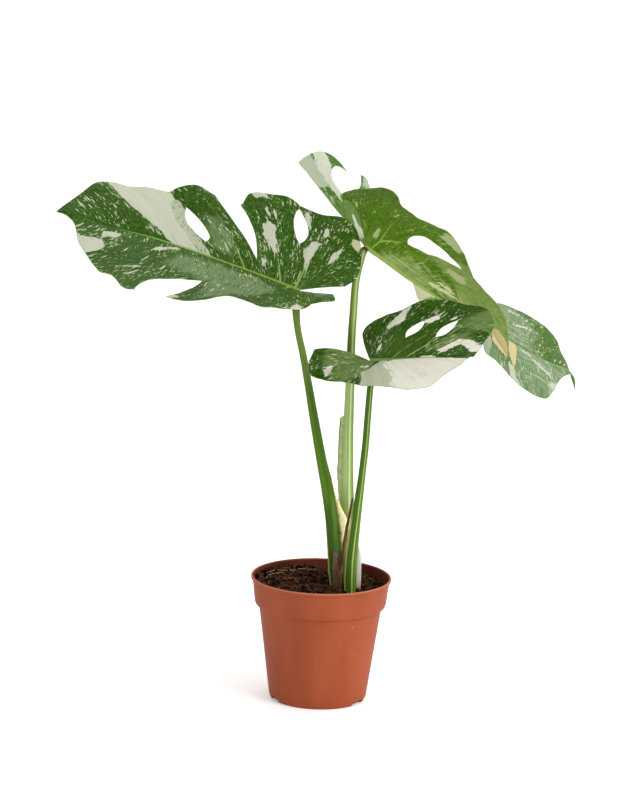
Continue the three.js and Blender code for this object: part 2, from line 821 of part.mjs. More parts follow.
const holes = Object.entries(STALKS).map(([name, stalk]) => stalkTube(stalk, joints[name], HOLE_GROW));
for (const { rows } of Object.values(SHEATHS)) {
  const sheet = sheathSheet(rows);
  sheet.points.slice(0, SHEATH_COLUMNS + 1).forEach((point) => point.addScaledVector(UP, -HOLE_GROW));
  const [left, right] = [new THREE.Vector3(...rows[0][0]), new THREE.Vector3(...rows[0][1])];
  const outwards = right.sub(left).setZ(0).normalize().multiplyScalar(HOLE_GROW);
  sheet.points.forEach((point, i) => {
    const side = i % (SHEATH_COLUMNS + 1);
    if (side === 0) {
      point.sub(outwards);
    } else if (side === SHEATH_COLUMNS) {
      point.add(outwards);
    }
  });
  holes.push(thicken(sheet.points, sheet.faces, SHEATH_THICKNESS + 2 * HOLE_GROW).geometry);
}
addPiece("soil", cutOut(soilBody(), holes), SOIL_COLOR, 0.95);

// The pot, turned about its own axis: the floor, the slanted wall, and the taller, wider collar under the
// rounded lip. Each pair is a radius and a height, up the outside and down the inside.
const POT_COLOR = 0xb4583a;
const POT_PROFILE = [
  [0, 0],
  [40.4, 0],
  [42, 3.5],
  [52.9, 82.6],
  [56.3, 84.8],
  [58.7, 104],
  [60.3, 105.4],
  [60.3, 107.4],
  [59.5, 108],
  [58.2, 107.2],
  [56.5, 95],
  [55, 85.4],
  [51.4, 80.4],
  [40.2, 1.8],
  [0, 1.8],
];
const POT_SECTORS = 32;
const DRAIN_ANGLES = [87, 206, 328];
const DRAIN = { wide: 15, high: 7.2, deep: 8, radius: 41 };

function indexed(geometry) {
  const position = geometry.getAttribute("position");
  const points = [];
  for (let i = 0; i < position.count; i += 1) {
    points.push(new THREE.Vector3().fromBufferAttribute(position, i));
  }
  const index = geometry.getIndex().array;
  const faces = [];
  for (let i = 0; i < index.length; i += 3) {
    faces.push([index[i], index[i + 1], index[i + 2]]);
  }
  const welded = weld(points, faces);
  return geometryFrom(welded.points, welded.faces);
}

const turned = new THREE.LatheGeometry(
  POT_PROFILE.map(([radius, height]) => new THREE.Vector2(radius, height)),
  POT_SECTORS,
);
turned.rotateX(Math.PI / 2);
const drains = DRAIN_ANGLES.map((angle) => {
  const slot = new THREE.BoxGeometry(DRAIN.deep, DRAIN.wide, DRAIN.high);
  slot.translate(DRAIN.radius, 0, 0);
  return indexed(slot.rotateZ(THREE.MathUtils.degToRad(angle)));
});
addPiece("pot", cutOut(indexed(turned), drains), POT_COLOR, 0.5);

export default group;
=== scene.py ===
"""A young variegated monstera in a 12 cm plastic nursery pot. Metres, +Z up, viewed from -Y."""

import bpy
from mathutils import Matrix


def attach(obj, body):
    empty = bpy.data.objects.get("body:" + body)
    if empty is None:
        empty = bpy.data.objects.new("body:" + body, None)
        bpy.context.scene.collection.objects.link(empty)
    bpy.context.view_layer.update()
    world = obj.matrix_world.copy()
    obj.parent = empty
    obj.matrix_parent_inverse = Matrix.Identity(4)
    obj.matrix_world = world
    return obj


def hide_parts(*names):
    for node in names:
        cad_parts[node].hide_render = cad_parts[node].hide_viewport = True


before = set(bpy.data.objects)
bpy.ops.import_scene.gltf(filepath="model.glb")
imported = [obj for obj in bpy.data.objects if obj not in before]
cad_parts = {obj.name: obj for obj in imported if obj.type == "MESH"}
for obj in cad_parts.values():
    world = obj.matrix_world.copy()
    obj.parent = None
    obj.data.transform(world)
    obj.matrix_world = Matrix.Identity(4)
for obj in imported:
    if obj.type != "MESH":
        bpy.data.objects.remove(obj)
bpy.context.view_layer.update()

import math

import bmesh
import bpy
import numpy as np
from mathutils import Matrix, Vector, noise


# CAMERA
# A long lens 3.5 m in front of the pot, 1.04 m up, looks a little down, as in the photograph. It is rolled
# by the photograph's slight tilt. The picture is 640 x 800, so the long side of the film is its height.
CAMERA_AT = Vector((0, -3.5, 1.0448))
CAMERA_PITCH = math.radians(12.598)
CAMERA_YAW = math.radians(-0.098)
CAMERA_ROLL = math.radians(1.8785)
CAMERA_LENS = 189.45
CAMERA_FILM = 36
CAMERA_REACH = 100

look = Vector((
    math.sin(CAMERA_YAW) * math.cos(CAMERA_PITCH),
    math.cos(CAMERA_YAW) * math.cos(CAMERA_PITCH),
    -math.sin(CAMERA_PITCH),
))
level_right = look.cross(Vector((0, 0, 1))).normalized()
level_up = level_right.cross(look)
right = level_right * math.cos(CAMERA_ROLL) + level_up * math.sin(CAMERA_ROLL)
up = level_up * math.cos(CAMERA_ROLL) - level_right * math.sin(CAMERA_ROLL)
camera_data = bpy.data.cameras.new("camera")
camera_data.lens = CAMERA_LENS
camera_data.sensor_width = CAMERA_FILM
camera_data.clip_end = CAMERA_REACH
camera = bpy.data.objects.new("camera", camera_data)
camera.matrix_world = Matrix.Translation(CAMERA_AT) @ Matrix((right, up, -look)).transposed().to_4x4()
bpy.context.scene.collection.objects.link(camera)
bpy.context.scene.camera = camera


# LIGHT AND FLOOR
# A white studio: a bright world that is weaker on the left, one large soft key light from the upper right
# front and a weaker one overhead. The floor is a plain, almost white sheet that glows faintly.
WORLD_STRENGTH = (0.5, 1.5)   # from the far left and from the far right
PLANT_MIDDLE = (0.02, 0, 0.25)
FLOOR_HALF = 15.0
FLOOR_GLOW = 0.2

scene = bpy.context.scene
scene.view_settings.view_transform = "Standard"
world = bpy.data.worlds.new("studio")
world.use_nodes = True
background = world.node_tree.nodes["Background"]
background.inputs["Color"].default_value = (1, 1, 1, 1)
direction = world.node_tree.nodes.new("ShaderNodeTexCoord")
sideways = world.node_tree.nodes.new("ShaderNodeSeparateXYZ")
strength = world.node_tree.nodes.new("ShaderNodeMapRange")
strength.inputs["From Min"].default_value = -1
strength.inputs["To Min"].default_value = WORLD_STRENGTH[0]
strength.inputs["To Max"].default_value = WORLD_STRENGTH[1]
world.node_tree.links.new(direction.outputs["Generated"], sideways.inputs[0])
world.node_tree.links.new(sideways.outputs["X"], strength.inputs["Value"])
world.node_tree.links.new(strength.outputs[0], background.inputs["Strength"])
scene.world = world


def area_light(name, at, width, power):
    """A square lamp that faces the middle of the plant."""
    data = bpy.data.lights.new(name, "AREA")
    data.shape = "SQUARE"
    data.size = width
    data.energy = power
    light = bpy.data.objects.new(name, data)
    light.location = at
    light.rotation_euler = (Vector(PLANT_MIDDLE) - Vector(at)).to_track_quat("-Z", "Y").to_euler()
    scene.collection.objects.link(light)


area_light("key", at=(1.6, -1.4, 1.5), width=1.0, power=27)
area_light("top", at=(-0.3, 0.6, 2.0), width=1.2, power=8)


def srgb(red, green, blue):
    """A colour read as 0 to 255 sRGB, as the linear colour that a shader takes."""
    linear = []
    for value in (red, green, blue):
        part = value / 255
        linear.append(part / 12.92 if part <= 0.04045 else ((part + 0.055) / 1.055) ** 2.4)
    return (*linear, 1.0)


class Look:
    """A material under construction: its nodes, and short ways to add the common ones."""

    def __init__(self, name, roughness, specular):
        self.material = bpy.data.materials.new(name)
        self.material.use_nodes = True
        self.tree = self.material.node_tree
        self.shader = self.tree.nodes["Principled BSDF"]
        self.shader.inputs["Roughness"].default_value = roughness
        self.shader.inputs["Specular IOR Level"].default_value = specular

    def put(self, socket, value):
        if isinstance(value, bpy.types.NodeSocket):
            self.tree.links.new(value, socket)
        else:
            socket.default_value = value

    def add(self, kind, inputs, output=0, **settings):
        node = self.tree.nodes.new(kind)
        for key, value in settings.items():
            setattr(node, key, value)
        for key, value in inputs.items():
            self.put(node.inputs[key], value)
        return node.outputs[output]

    def math(self, operation, a, b=0.0):
        return self.add("ShaderNodeMath", {0: a, 1: b}, operation=operation)

    def times(self, a, b):
        return self.math("MULTIPLY", a, b)

    def plus(self, a, b):
        return self.math("ADD", a, b)

    def swing(self, cloud, much):
        """A noise round 0.5, turned into one round 0 that swings by so much."""
        return self.times(self.math("SUBTRACT", cloud, 0.5), much)

    def mix(self, factor, a, b):
        node = self.tree.nodes.new("ShaderNodeMix")
        node.data_type = "RGBA"
        self.put(node.inputs["Factor"], factor)
        colors = [socket for socket in node.inputs if socket.type == "RGBA"]
        self.put(colors[0], a)
        self.put(colors[1], b)
        return next(socket for socket in node.outputs if socket.type == "RGBA")

    def step(self, value, low, high):
        """0 below low and 1 above high, with a smooth change between. low may be above high."""
        inputs = {"Value": value, "From Min": low, "From Max": high}
        return self.add("ShaderNodeMapRange", inputs, interpolation_type="SMOOTHSTEP")

    def stretch(self, vector, scale, shift=(0, 0, 0)):
        return self.add("ShaderNodeMapping", {"Vector": vector, "Scale": scale, "Location": shift})

    def noise(self, vector, scale, detail=2.0, roughness=0.5, shift=(0, 0, 0)):
        """Cloudy noise from 0 to 1. Three numbers as its scale stretch it."""
        if isinstance(scale, tuple):
            vector = self.stretch(vector, scale, shift)
            scale = 1.0
        inputs = {"Vector": vector, "Scale": scale, "Detail": detail, "Roughness": roughness}
        return self.add("ShaderNodeTexNoise", inputs)

    def value(self, name):
        return self.add("ShaderNodeAttribute", {}, output=2, attribute_name=name)

    def place(self):
        return self.add("ShaderNodeTexCoord", {}, output=3)

    def flat(self, name):
        return self.add("ShaderNodeUVMap", {}, uv_map=name)

    def split(self, vector):
        node = self.tree.nodes.new("ShaderNodeSeparateXYZ")
        self.put(node.inputs[0], vector)
        return node.outputs

    def color(self, value):
        self.put(self.shader.inputs["Base Color"], value)

    def bump(self, height, distance, strength):
        inputs = {"Height": height, "Distance": distance, "Strength": strength}
        self.put(self.shader.inputs["Normal"], self.add("ShaderNodeBump", inputs))


floor_mesh = bpy.data.meshes.new("floor")
floor_corners = [(-1, -1), (1, -1), (1, 1), (-1, 1)]
floor_mesh.from_pydata([(FLOOR_HALF * x, FLOOR_HALF * y, 0) for x, y in floor_corners], [], [(0, 1, 2, 3)])
floor = bpy.data.objects.new("floor", floor_mesh)
scene.collection.objects.link(floor)
floor_look = Look("floor_paper", roughness=0.9, specular=0.1)
floor_look.color(srgb(244, 244, 244))
floor_look.shader.inputs["Emission Color"].default_value = (1, 1, 1, 1)
floor_look.shader.inputs["Emission Strength"].default_value = FLOOR_GLOW
floor_mesh.materials.append(floor_look.material)


# POT
# One injection-moulded cup of brick-red plastic, turned about its own axis: rounded lip, sloping collar with
# a small step under it, slanted wall, and three drain notches cut into the edge of its foot. Its plastic is
# satin, with fine flow streaks, a few dusty scuffs and a worn, paler lip. Painted shade darkens the wall
# towards its foot, and its inside is a much darker copy of the plastic, also painted shade. It stands on its
# flat underside.
MM = 0.001
POT_SECTORS = 192
POT_PROFILE = [  # radius, height and corner rounding in mm, up the outside and down the inside
    (0, 0, 0), (40.4, 0, 1.2), (42, 3.5, 1.5), (52.7, 82.0, 0.6), (53.2, 82.9, 0.3), (55.7, 83.2, 0.5),
    (56.5, 85.2, 1.0), (58.8, 104.2, 0.5), (59.1, 104.9, 0.2), (60.2, 105.3, 0.5), (60.4, 107.2, 0.6),
    (59.5, 108.0, 0.5), (58.3, 107.3, 0.6), (56.5, 95, 1.5), (55, 85.4, 1.5), (51.4, 80.4, 1.5),
    (40.2, 1.8, 1.0), (0, 1.8, 0),
]
POT_CORNER_STEPS = 4
POT_CORNER_MOST = 0.45        # the most of a side that a rounded corner takes
POT_CREASE = 50               # edges sharper than this, in degrees, stay crisp
POT_INSIDE_FROM = -0.3        # faces that look inwards by more than this get the inside's painted shade
POT_FOOT_PAINTED_SHADE = (0.03, 0.0)        # heights in m between which painted shade darkens the wall towards its foot
POT_LIP = (0.1062, 0.1078)    # heights in m between which the lip turns pale
DRAIN_ANGLES = (87, 206, 328)
DRAIN_SIZE = (8, 15, 7.2)
DRAIN_RADIUS = 41


def rounded(profile):
    """The profile with each corner replaced by a short curve that starts and ends its third number away."""
    out = []
    for i, (r, z, round_by) in enumerate(profile):
        here = np.array((r, z), float)
        if round_by == 0:
            out.append(here)
            continue
        before = np.array(profile[i - 1][:2], float) - here
        after = np.array(profile[i + 1][:2], float) - here
        start = here + before * min(round_by / np.linalg.norm(before), POT_CORNER_MOST)
        end = here + after * min(round_by / np.linalg.norm(after), POT_CORNER_MOST)
        for step in range(POT_CORNER_STEPS + 1):
            t = step / POT_CORNER_STEPS
            out.append(start * (1 - t) ** 2 + here * 2 * t * (1 - t) + end * t * t)
    return out


def mesh_object(name, points, faces, looks):
    """A smoothly shaded mesh object from points in millimetres."""
    mesh = bpy.data.meshes.new(name)
    mesh.from_pydata([tuple(MM * float(c) for c in point) for point in points], [], faces)
    for each in looks:
        mesh.materials.append(each.material)
    mesh.polygons.foreach_set("use_smooth", [True] * len(mesh.polygons))
    mesh.update()
    obj = bpy.data.objects.new(name, mesh)
    scene.collection.objects.link(obj)
    return obj


def finished(obj, *nodes, slot):
    """Says which body the piece rides on and which solids it stands for; slot, its finish, is not used."""
    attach(obj, "root")
    if nodes:
        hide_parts(*nodes)


def apply_modifiers(obj):
    bpy.context.view_layer.update()
    evaluated = obj.evaluated_get(bpy.context.evaluated_depsgraph_get())
    mesh = bpy.data.meshes.new_from_object(evaluated)
    obj.modifiers.clear()
    obj.data = mesh


def plastic(name, light, dark, worn):
    """Satin plastic: flow streaks, painted shade towards the foot, a worn lip and a few scuffs."""
    each = Look(name, roughness=0.55, specular=0.1)
    place = each.place()
    height = each.split(place)["Z"]
    flow = each.noise(place, (38, 38, 9), 3.0)
    color = each.mix(each.step(flow, 0.2, 0.8), dark, light)
    mottle = each.noise(place, 900.0)
    color = each.mix(each.times(mottle, 0.2), color, dark)
    # painted shade: the wall darkens towards its foot
    color = each.mix(each.times(each.step(height, *POT_FOOT_PAINTED_SHADE), 0.25), color, dark)
    color = each.mix(each.times(each.step(height, *POT_LIP), 0.5), color, worn)
    scuff = each.noise(place, (60, 60, 90), 4.0, 0.65, (0.4, 0, 0))
    color = each.mix(each.times(each.step(scuff, 0.68, 0.76), 0.4), color, worn)
    each.color(color)
    rough = each.add("ShaderNodeMapRange", {"Value": mottle, "To Min": 0.48, "To Max": 0.62})
    each.put(each.shader.inputs["Roughness"], rough)
    each.bump(each.noise(place, 1500.0), 0.00012, 0.35)
    return each


pot_look = plastic("pot_plastic", srgb(155, 78, 48), srgb(141, 66, 40), srgb(196, 128, 100))
# painted shade: the inside is the same plastic in much darker colours
pot_inside_painted_shade_look = plastic("pot_inside_painted_shade", srgb(104, 44, 26), srgb(74, 28, 16), srgb(170, 90, 60))

profile = rounded(POT_PROFILE)
pot_points = [(0, 0, profile[0][1])]
pot_faces = []
rings = profile[1:-1]
for r, z in rings:
    for i in range(POT_SECTORS):
        angle = 2 * math.pi * i / POT_SECTORS
        pot_points.append((r * math.cos(angle), r * math.sin(angle), z))
pot_points.append((0, 0, profile[-1][1]))
for i in range(POT_SECTORS):
    j = (i + 1) % POT_SECTORS
    pot_faces.append((0, 1 + j, 1 + i))
    for ring in range(len(rings) - 1):
        a = 1 + ring * POT_SECTORS
        b = a + POT_SECTORS
        pot_faces.append((a + i, a + j, b + j, b + i))
    last = 1 + (len(rings) - 1) * POT_SECTORS
    pot_faces.append((len(pot_points) - 1, last + i, last + j))
pot = mesh_object("nursery_pot", pot_points, pot_faces, [pot_look, pot_inside_painted_shade_look])
cutters = []
for angle in DRAIN_ANGLES:
    bpy.ops.mesh.primitive_cube_add(size=MM)
    cutter = bpy.context.object
    turn = math.radians(angle)
    cutter.scale = DRAIN_SIZE
    cutter.rotation_euler = (0, 0, turn)
    cutter.location = (MM * DRAIN_RADIUS * math.cos(turn), MM * DRAIN_RADIUS * math.sin(turn), 0)
    cut = pot.modifiers.new("drain", "BOOLEAN")
    cut.object = cutter
    cut.solver = "EXACT"
    cutters.append(cutter)
apply_modifiers(pot)
for cutter in cutters:
    bpy.data.objects.remove(cutter)
# inward faces take the darker copy of the plastic, which is painted shade
for polygon in pot.data.polygons:
    outwards = polygon.center.x * polygon.normal.x + polygon.center.y * polygon.normal.y
    if outwards < POT_INSIDE_FROM * math.hypot(polygon.center.x, polygon.center.y):
        polygon.material_index = 1
pot.data.set_sharp_from_angle(angle=math.radians(POT_CREASE))
finished(pot, "pot", slot="pot")


# SOIL
# Damp potting mix, peat and bark, pressed into the pot and heaped a little at the back left. The bed is one
# displaced disc with a skirt. Crumbs, bark chips and splinters are scattered over it by a node group, and
# fibres and a few pale roots are thin bent tubes that lie on it. All of it is dark brown and rough.
SOIL_SIDE = [(56, 97), (54.4, 86), (50.9, 80.6), (40, 3.4), (38.8, 2.1)]
SOIL_LEVEL = 100.5
SOIL_SLOPE = (-0.055, 0.035)
SOIL_MOUND = {"x": -30, "y": 14, "radius": 22, "high": 2}
SOIL_LUMPS = ((14, 1.6), (5, 1.1), (2, 0.7))   # size and height in mm
SOIL_EDGE_DROP = 1.2
SOIL_RINGS = 70
SOIL_SECTORS = 220


def soil_height(x, y):
    """The bed's height in mm: slope, mound and lumps of three sizes."""
    edge = SOIL_SIDE[0][0]
    away = math.hypot(x - SOIL_MOUND["x"], y - SOIL_MOUND["y"]) / SOIL_MOUND["radius"]
    height = SOIL_LEVEL + SOIL_SLOPE[0] * x + SOIL_SLOPE[1] * y + SOIL_MOUND["high"] * math.exp(-away * away)
    height -= SOIL_EDGE_DROP * (math.hypot(x, y) / edge) ** 4
    for size, high in SOIL_LUMPS:
        height += high * noise.noise(Vector((x / size, y / size, size)))
    return height


soil_look = Look("potting_mix", roughness=0.95, specular=0.05)
soil_place = soil_look.place()
soil_grain = soil_look.noise(soil_place, 420.0, 6.0, 0.7)
soil_tint = soil_look.noise(soil_place, 90.0, 3.0)
soil_color = soil_look.mix(soil_look.step(soil_grain, 0.4, 0.66), srgb(9, 5, 3), srgb(60, 36, 22))
soil_patch = soil_look.times(soil_look.step(soil_tint, 0.5, 0.7), 0.6)
soil_look.color(soil_look.mix(soil_patch, soil_color, srgb(58, 34, 22)))
soil_look.bump(soil_look.noise(soil_place, 900.0, 4.0, 0.7), 0.0008, 0.8)

soil_points = [(0, 0, soil_height(0, 0))]
soil_faces = []
soil_rings = [(SOIL_SIDE[0][0] * ring / SOIL_RINGS, None) for ring in range(1, SOIL_RINGS + 1)] + SOIL_SIDE
for radius, height in soil_rings:
    for i in range(SOIL_SECTORS):
        angle = 2 * math.pi * i / SOIL_SECTORS
        x = radius * math.cos(angle)
        y = radius * math.sin(angle)
        soil_points.append((x, y, soil_height(x, y) if height is None else height))
for i in range(SOIL_SECTORS):
    j = (i + 1) % SOIL_SECTORS
    soil_faces.append((0, 1 + i, 1 + j))
    for ring in range(len(soil_rings) - 1):
        a = 1 + ring * SOIL_SECTORS
        b = a + SOIL_SECTORS
        soil_faces.append((a + i, b + i, b + j, a + j))
lowest = 1 + (len(soil_rings) - 1) * SOIL_SECTORS
soil_faces.append(tuple(lowest + i for i in reversed(range(SOIL_SECTORS))))
soil = mesh_object("soil_bed", soil_points, soil_faces, [soil_look])
finished(soil, "soil", slot="soil")

BED_POINTS = 1 + SOIL_RINGS * SOIL_SECTORS
UP_FACING = 0.3
FIRST_SEED = 3
LUMP_GRAIN = 2.3


def lump(name, size, rough, seed, detail):
    """One crumb or chip: a small ball, stretched to size in mm and roughened."""
    shape = bmesh.new()
    bmesh.ops.create_icosphere(shape, subdivisions=detail, radius=0.5)
    for vertex in shape.verts:
        push = 1 + rough * noise.noise(vertex.co * LUMP_GRAIN + Vector((seed, 0, 0)))
        vertex.co = Vector((vertex.co[i] * size[i] * push * MM for i in range(3)))
    mesh = bpy.data.meshes.new(name)
    shape.to_mesh(mesh)
    shape.free()
    obj = bpy.data.objects.new(name, mesh)
    scene.collection.objects.link(obj)
    return obj


def scatter_group():
    """A node group that scatters one shape over the up-facing part of a surface."""
    group = bpy.data.node_groups.new("scatter", "GeometryNodeTree")
    sockets = [
        ("Geometry", "NodeSocketGeometry"), ("Shape", "NodeSocketObject"), ("Density", "NodeSocketFloat"),
        ("Smallest", "NodeSocketFloat"), ("Largest", "NodeSocketFloat"), ("Lean", "NodeSocketFloat"),
        ("Seed", "NodeSocketInt"), ("Material", "NodeSocketMaterial"),
    ]
    for label, kind in sockets:
        group.interface.new_socket(label, in_out="INPUT", socket_type=kind)
    group.interface.new_socket("Geometry", in_out="OUTPUT", socket_type="NodeSocketGeometry")
    entry = group.nodes.new("NodeGroupInput").outputs
    leave = group.nodes.new("NodeGroupOutput")

    def add(kind, inputs, **settings):
        node = group.nodes.new(kind)
        for key, value in settings.items():
            setattr(node, key, value)
        for key, value in inputs.items():
            if isinstance(value, bpy.types.NodeSocket):
                group.links.new(value, node.inputs[key])
            else:
                node.inputs[key].default_value = value
        return node

    normal = add("GeometryNodeInputNormal", {})
    facing = add("ShaderNodeSeparateXYZ", {0: normal.outputs[0]})
    upward = add("FunctionNodeCompare", {0: facing.outputs["Z"], 1: UP_FACING}, operation="GREATER_THAN")
    points = add("GeometryNodeDistributePointsOnFaces", {
        "Mesh": entry["Geometry"], "Selection": upward.outputs[0],
        "Density": entry["Density"], "Seed": entry["Seed"],
    })
    lean = add("ShaderNodeCombineXYZ", {0: entry["Lean"], 1: entry["Lean"], 2: math.pi})
    back = add("ShaderNodeVectorMath", {0: lean.outputs[0], "Scale": -1.0}, operation="SCALE")
    turn = add("FunctionNodeRandomValue", {
        "Min": back.outputs[0], "Max": lean.outputs[0], "Seed": entry["Seed"],
    }, data_type="FLOAT_VECTOR")
    size = add("FunctionNodeRandomValue", {"Seed": entry["Seed"]}, data_type="FLOAT")
    numbers = [socket for socket in size.inputs if socket.type == "VALUE"]
    group.links.new(entry["Smallest"], numbers[0])
    group.links.new(entry["Largest"], numbers[1])
    source = add("GeometryNodeObjectInfo", {"Object": entry["Shape"], "As Instance": True})
    placed = add("GeometryNodeInstanceOnPoints", {
        "Points": points.outputs["Points"], "Instance": source.outputs["Geometry"],
        "Rotation": turn.outputs[0],
        "Scale": next(socket for socket in size.outputs if socket.type == "VALUE"),
    })
    solid = add("GeometryNodeRealizeInstances", {"Geometry": placed.outputs[0]})
    painted = add("GeometryNodeSetMaterial", {"Geometry": solid.outputs[0], "Material": entry["Material"]})
    group.links.new(painted.outputs[0], leave.inputs[0])
    return group


crumb_look = Look("soil_crumb", roughness=0.95, specular=0.05)
crumb_place = crumb_look.place()
crumb_tint = crumb_look.noise(crumb_place, 160.0, 1.0)
crumb_look.color(crumb_look.mix(crumb_look.step(crumb_tint, 0.42, 0.62), srgb(10, 6, 4), srgb(84, 52, 34)))
crumb_look.bump(crumb_look.noise(crumb_place, 1400.0, 3.0), 0.0004, 0.7)
chip_look = Look("soil_bark", roughness=0.9, specular=0.08)
chip_place = chip_look.place()
chip_grain = chip_look.noise(chip_place, (900, 300, 900), 3.0)
chip_tint = chip_look.noise(chip_place, 120.0, 1.0)
chip_color = chip_look.mix(chip_look.step(chip_tint, 0.4, 0.62), srgb(26, 14, 9), srgb(104, 64, 42))
chip_look.color(chip_look.mix(chip_look.times(chip_grain, 0.5), chip_color, srgb(20, 12, 9)))
chip_look.bump(chip_grain, 0.0003, 0.6)

SCATTERS = [  # name, shape in mm, roughness, detail, pieces a square metre, smallest, largest, lean, look
    ("soil_crumbs_large", (3.2, 2.6, 2.2), 0.9, 2, 60000, 0.5, 1.3, 3.1, crumb_look),
    ("soil_crumbs_small", (1.2, 1.0, 0.9), 0.8, 1, 320000, 0.4, 1.5, 3.1, crumb_look),
    ("soil_bark_chips", (5.5, 1.5, 0.7), 0.6, 2, 26000, 0.4, 1.2, 0.5, chip_look),
    ("soil_splinters", (7.5, 0.5, 0.4), 0.5, 1, 70000, 0.3, 1.2, 0.45, chip_look),
]
bed_faces = [face for face in soil_faces if max(face) < BED_POINTS]
scatter_nodes = scatter_group()
for seed, row in enumerate(SCATTERS, FIRST_SEED):
    name, size, rough, detail, density, least, most, lean, its_look = row
    shape = lump(name + "_shape", size, rough, seed, detail)
    piece = mesh_object(name, soil_points[:BED_POINTS], bed_faces, [its_look])
    modifier = piece.modifiers.new("scatter", "NODES")
    modifier.node_group = scatter_nodes
    values = {"Shape": shape, "Density": density, "Smallest": least, "Largest": most, "Lean": lean,
              "Seed": seed, "Material": its_look.material}
    for item in scatter_nodes.interface.items_tree:
        if item.in_out == "INPUT" and item.name in values:
            modifier[item.identifier] = values[item.name]
    apply_modifiers(piece)
    bpy.data.objects.remove(shape)
    finished(piece, slot="soil")


def smooth_through(points, at):
    """A smooth curve through points, its slope held back where two neighbouring spans differ in length."""
    points = np.asarray(points, float)
    at = np.asarray(at, float)
    last = len(points) - 1
    i = np.clip(np.floor(at).astype(int), 0, last - 1)
    lengths = np.linalg.norm(np.diff(points, axis=0), axis=1)
    before = np.vstack([points[:1], points[:-1]])
    after = np.vstack([points[1:], points[-1:]])
    run = np.append(0, lengths) + np.append(lengths, 0)
    slope = (after - before) / np.maximum(run, 1e-6)[:, None]
    span = lengths[i][..., None]
    t = (at - i)[..., None]
    return (points[i] * (2 * t ** 3 - 3 * t ** 2 + 1) + slope[i] * span * (t ** 3 - 2 * t ** 2 + t)
            + points[i + 1] * (3 * t ** 2 - 2 * t ** 3) + slope[i + 1] * span * (t ** 3 - t ** 2))


def tube_faces(rings, sides):
    """The faces of a closed tube whose points stand ring by ring."""
    faces = []
    for ring in range(rings - 1):
        for i in range(sides):
            j = (i + 1) % sides
            a = ring * sides
            faces.append((a + i, a + j, a + sides + j, a + sides + i))
    faces.append(tuple(reversed(range(sides))))
    faces.append(tuple(range((rings - 1) * sides, rings * sides)))
    return faces


def tube(path, sizes, sides):
    """Points and faces of a round tube along a path in mm, with a radius for each point of the path."""
    points = []
    path = np.asarray(path, float)
    tangents = np.gradient(path, axis=0)
    tangents /= np.linalg.norm(tangents, axis=1)[:, None]
    side = np.cross(tangents[0], TUBE_HINT)
    for at, tangent, radius in zip(path, tangents, sizes):
        side = side - tangent * (side @ tangent)
        side /= np.linalg.norm(side)
        other = np.cross(tangent, side)
        for i in range(sides):
            angle = 2 * math.pi * i / sides
            points.append(at + radius * (math.cos(angle) * side + math.sin(angle) * other))
    return points, tube_faces(len(path), sides)


TUBE_HINT = (0.3, 0.2, 1.0)   # a direction that no fibre or root runs along
FIBRES = 80
FIBRE_SEED = 11
FIBRE_SIDES = 5
FIBRE_STEPS = 12
FIBRE_FEWEST = 4              # a fibre that leaves the bed before this many steps is left out
FIBRE_START = 53              # the farthest from the middle that one starts, in mm
FIBRE_END = 54                # the farthest from the middle that one runs, in mm
FIBRE_LENGTH = (6, 22)
FIBRE_ARCH = (0.3, 3.6)
FIBRE_RADIUS = (0.1, 0.24)
FIBRE_TAPER = 0.6
FIBRE_LIFT = 0.5
FIBRE_CROWDING = 0.35         # 0.5 would spread them evenly, and less crowds them towards the rim
FIBRE_BEND = 0.15             # how much a fibre bends one way, in radians a step
FIBRE_WANDER = 0.1            # and how much it wanders to both sides
fibre_look = Look("root_fibre", roughness=0.8, specular=0.3)
fibre_tint = fibre_look.noise(fibre_look.place(), 60.0, 1.0)
fibre_tint = fibre_look.step(fibre_tint, 0.35, 0.7)
fibre_look.color(fibre_look.mix(fibre_tint, srgb(58, 36, 22), srgb(150, 110, 76)))
draw = np.random.default_rng(FIBRE_SEED)
fibre_points = []
fibre_faces = []
for _ in range(FIBRES):
    radius = FIBRE_START * draw.uniform(0, 1) ** FIBRE_CROWDING
    angle = draw.uniform(0, 2 * math.pi)
    heading = draw.uniform(0, 2 * math.pi)
    at = np.array((radius * math.cos(angle), radius * math.sin(angle)))
    length = draw.uniform(*FIBRE_LENGTH)
    path = []
    bend = draw.normal(0, FIBRE_BEND)
    arch = draw.uniform(*FIBRE_ARCH)
    for step in range(FIBRE_STEPS + 1):
        if np.hypot(*at) > FIBRE_END:
            break
        lift = FIBRE_LIFT + arch * math.sin(math.pi * step / FIBRE_STEPS)
        path.append((at[0], at[1], soil_height(*at) + lift))
        heading += bend + draw.normal(0, FIBRE_WANDER)
        at = at + np.array((math.cos(heading), math.sin(heading))) * length / FIBRE_STEPS
    if len(path) < FIBRE_FEWEST:
        continue
    thick = draw.uniform(*FIBRE_RADIUS)
    sizes = [thick * (1 - FIBRE_TAPER * (i / (len(path) - 1))) for i in range(len(path))]
    points, faces = tube(path, sizes, FIBRE_SIDES)
    fibre_faces += [tuple(i + len(fibre_points) for i in face) for face in faces]
    fibre_points += points
fibres = mesh_object("soil_fibres", fibre_points, fibre_faces, [fibre_look])
finished(fibres, slot="soil")

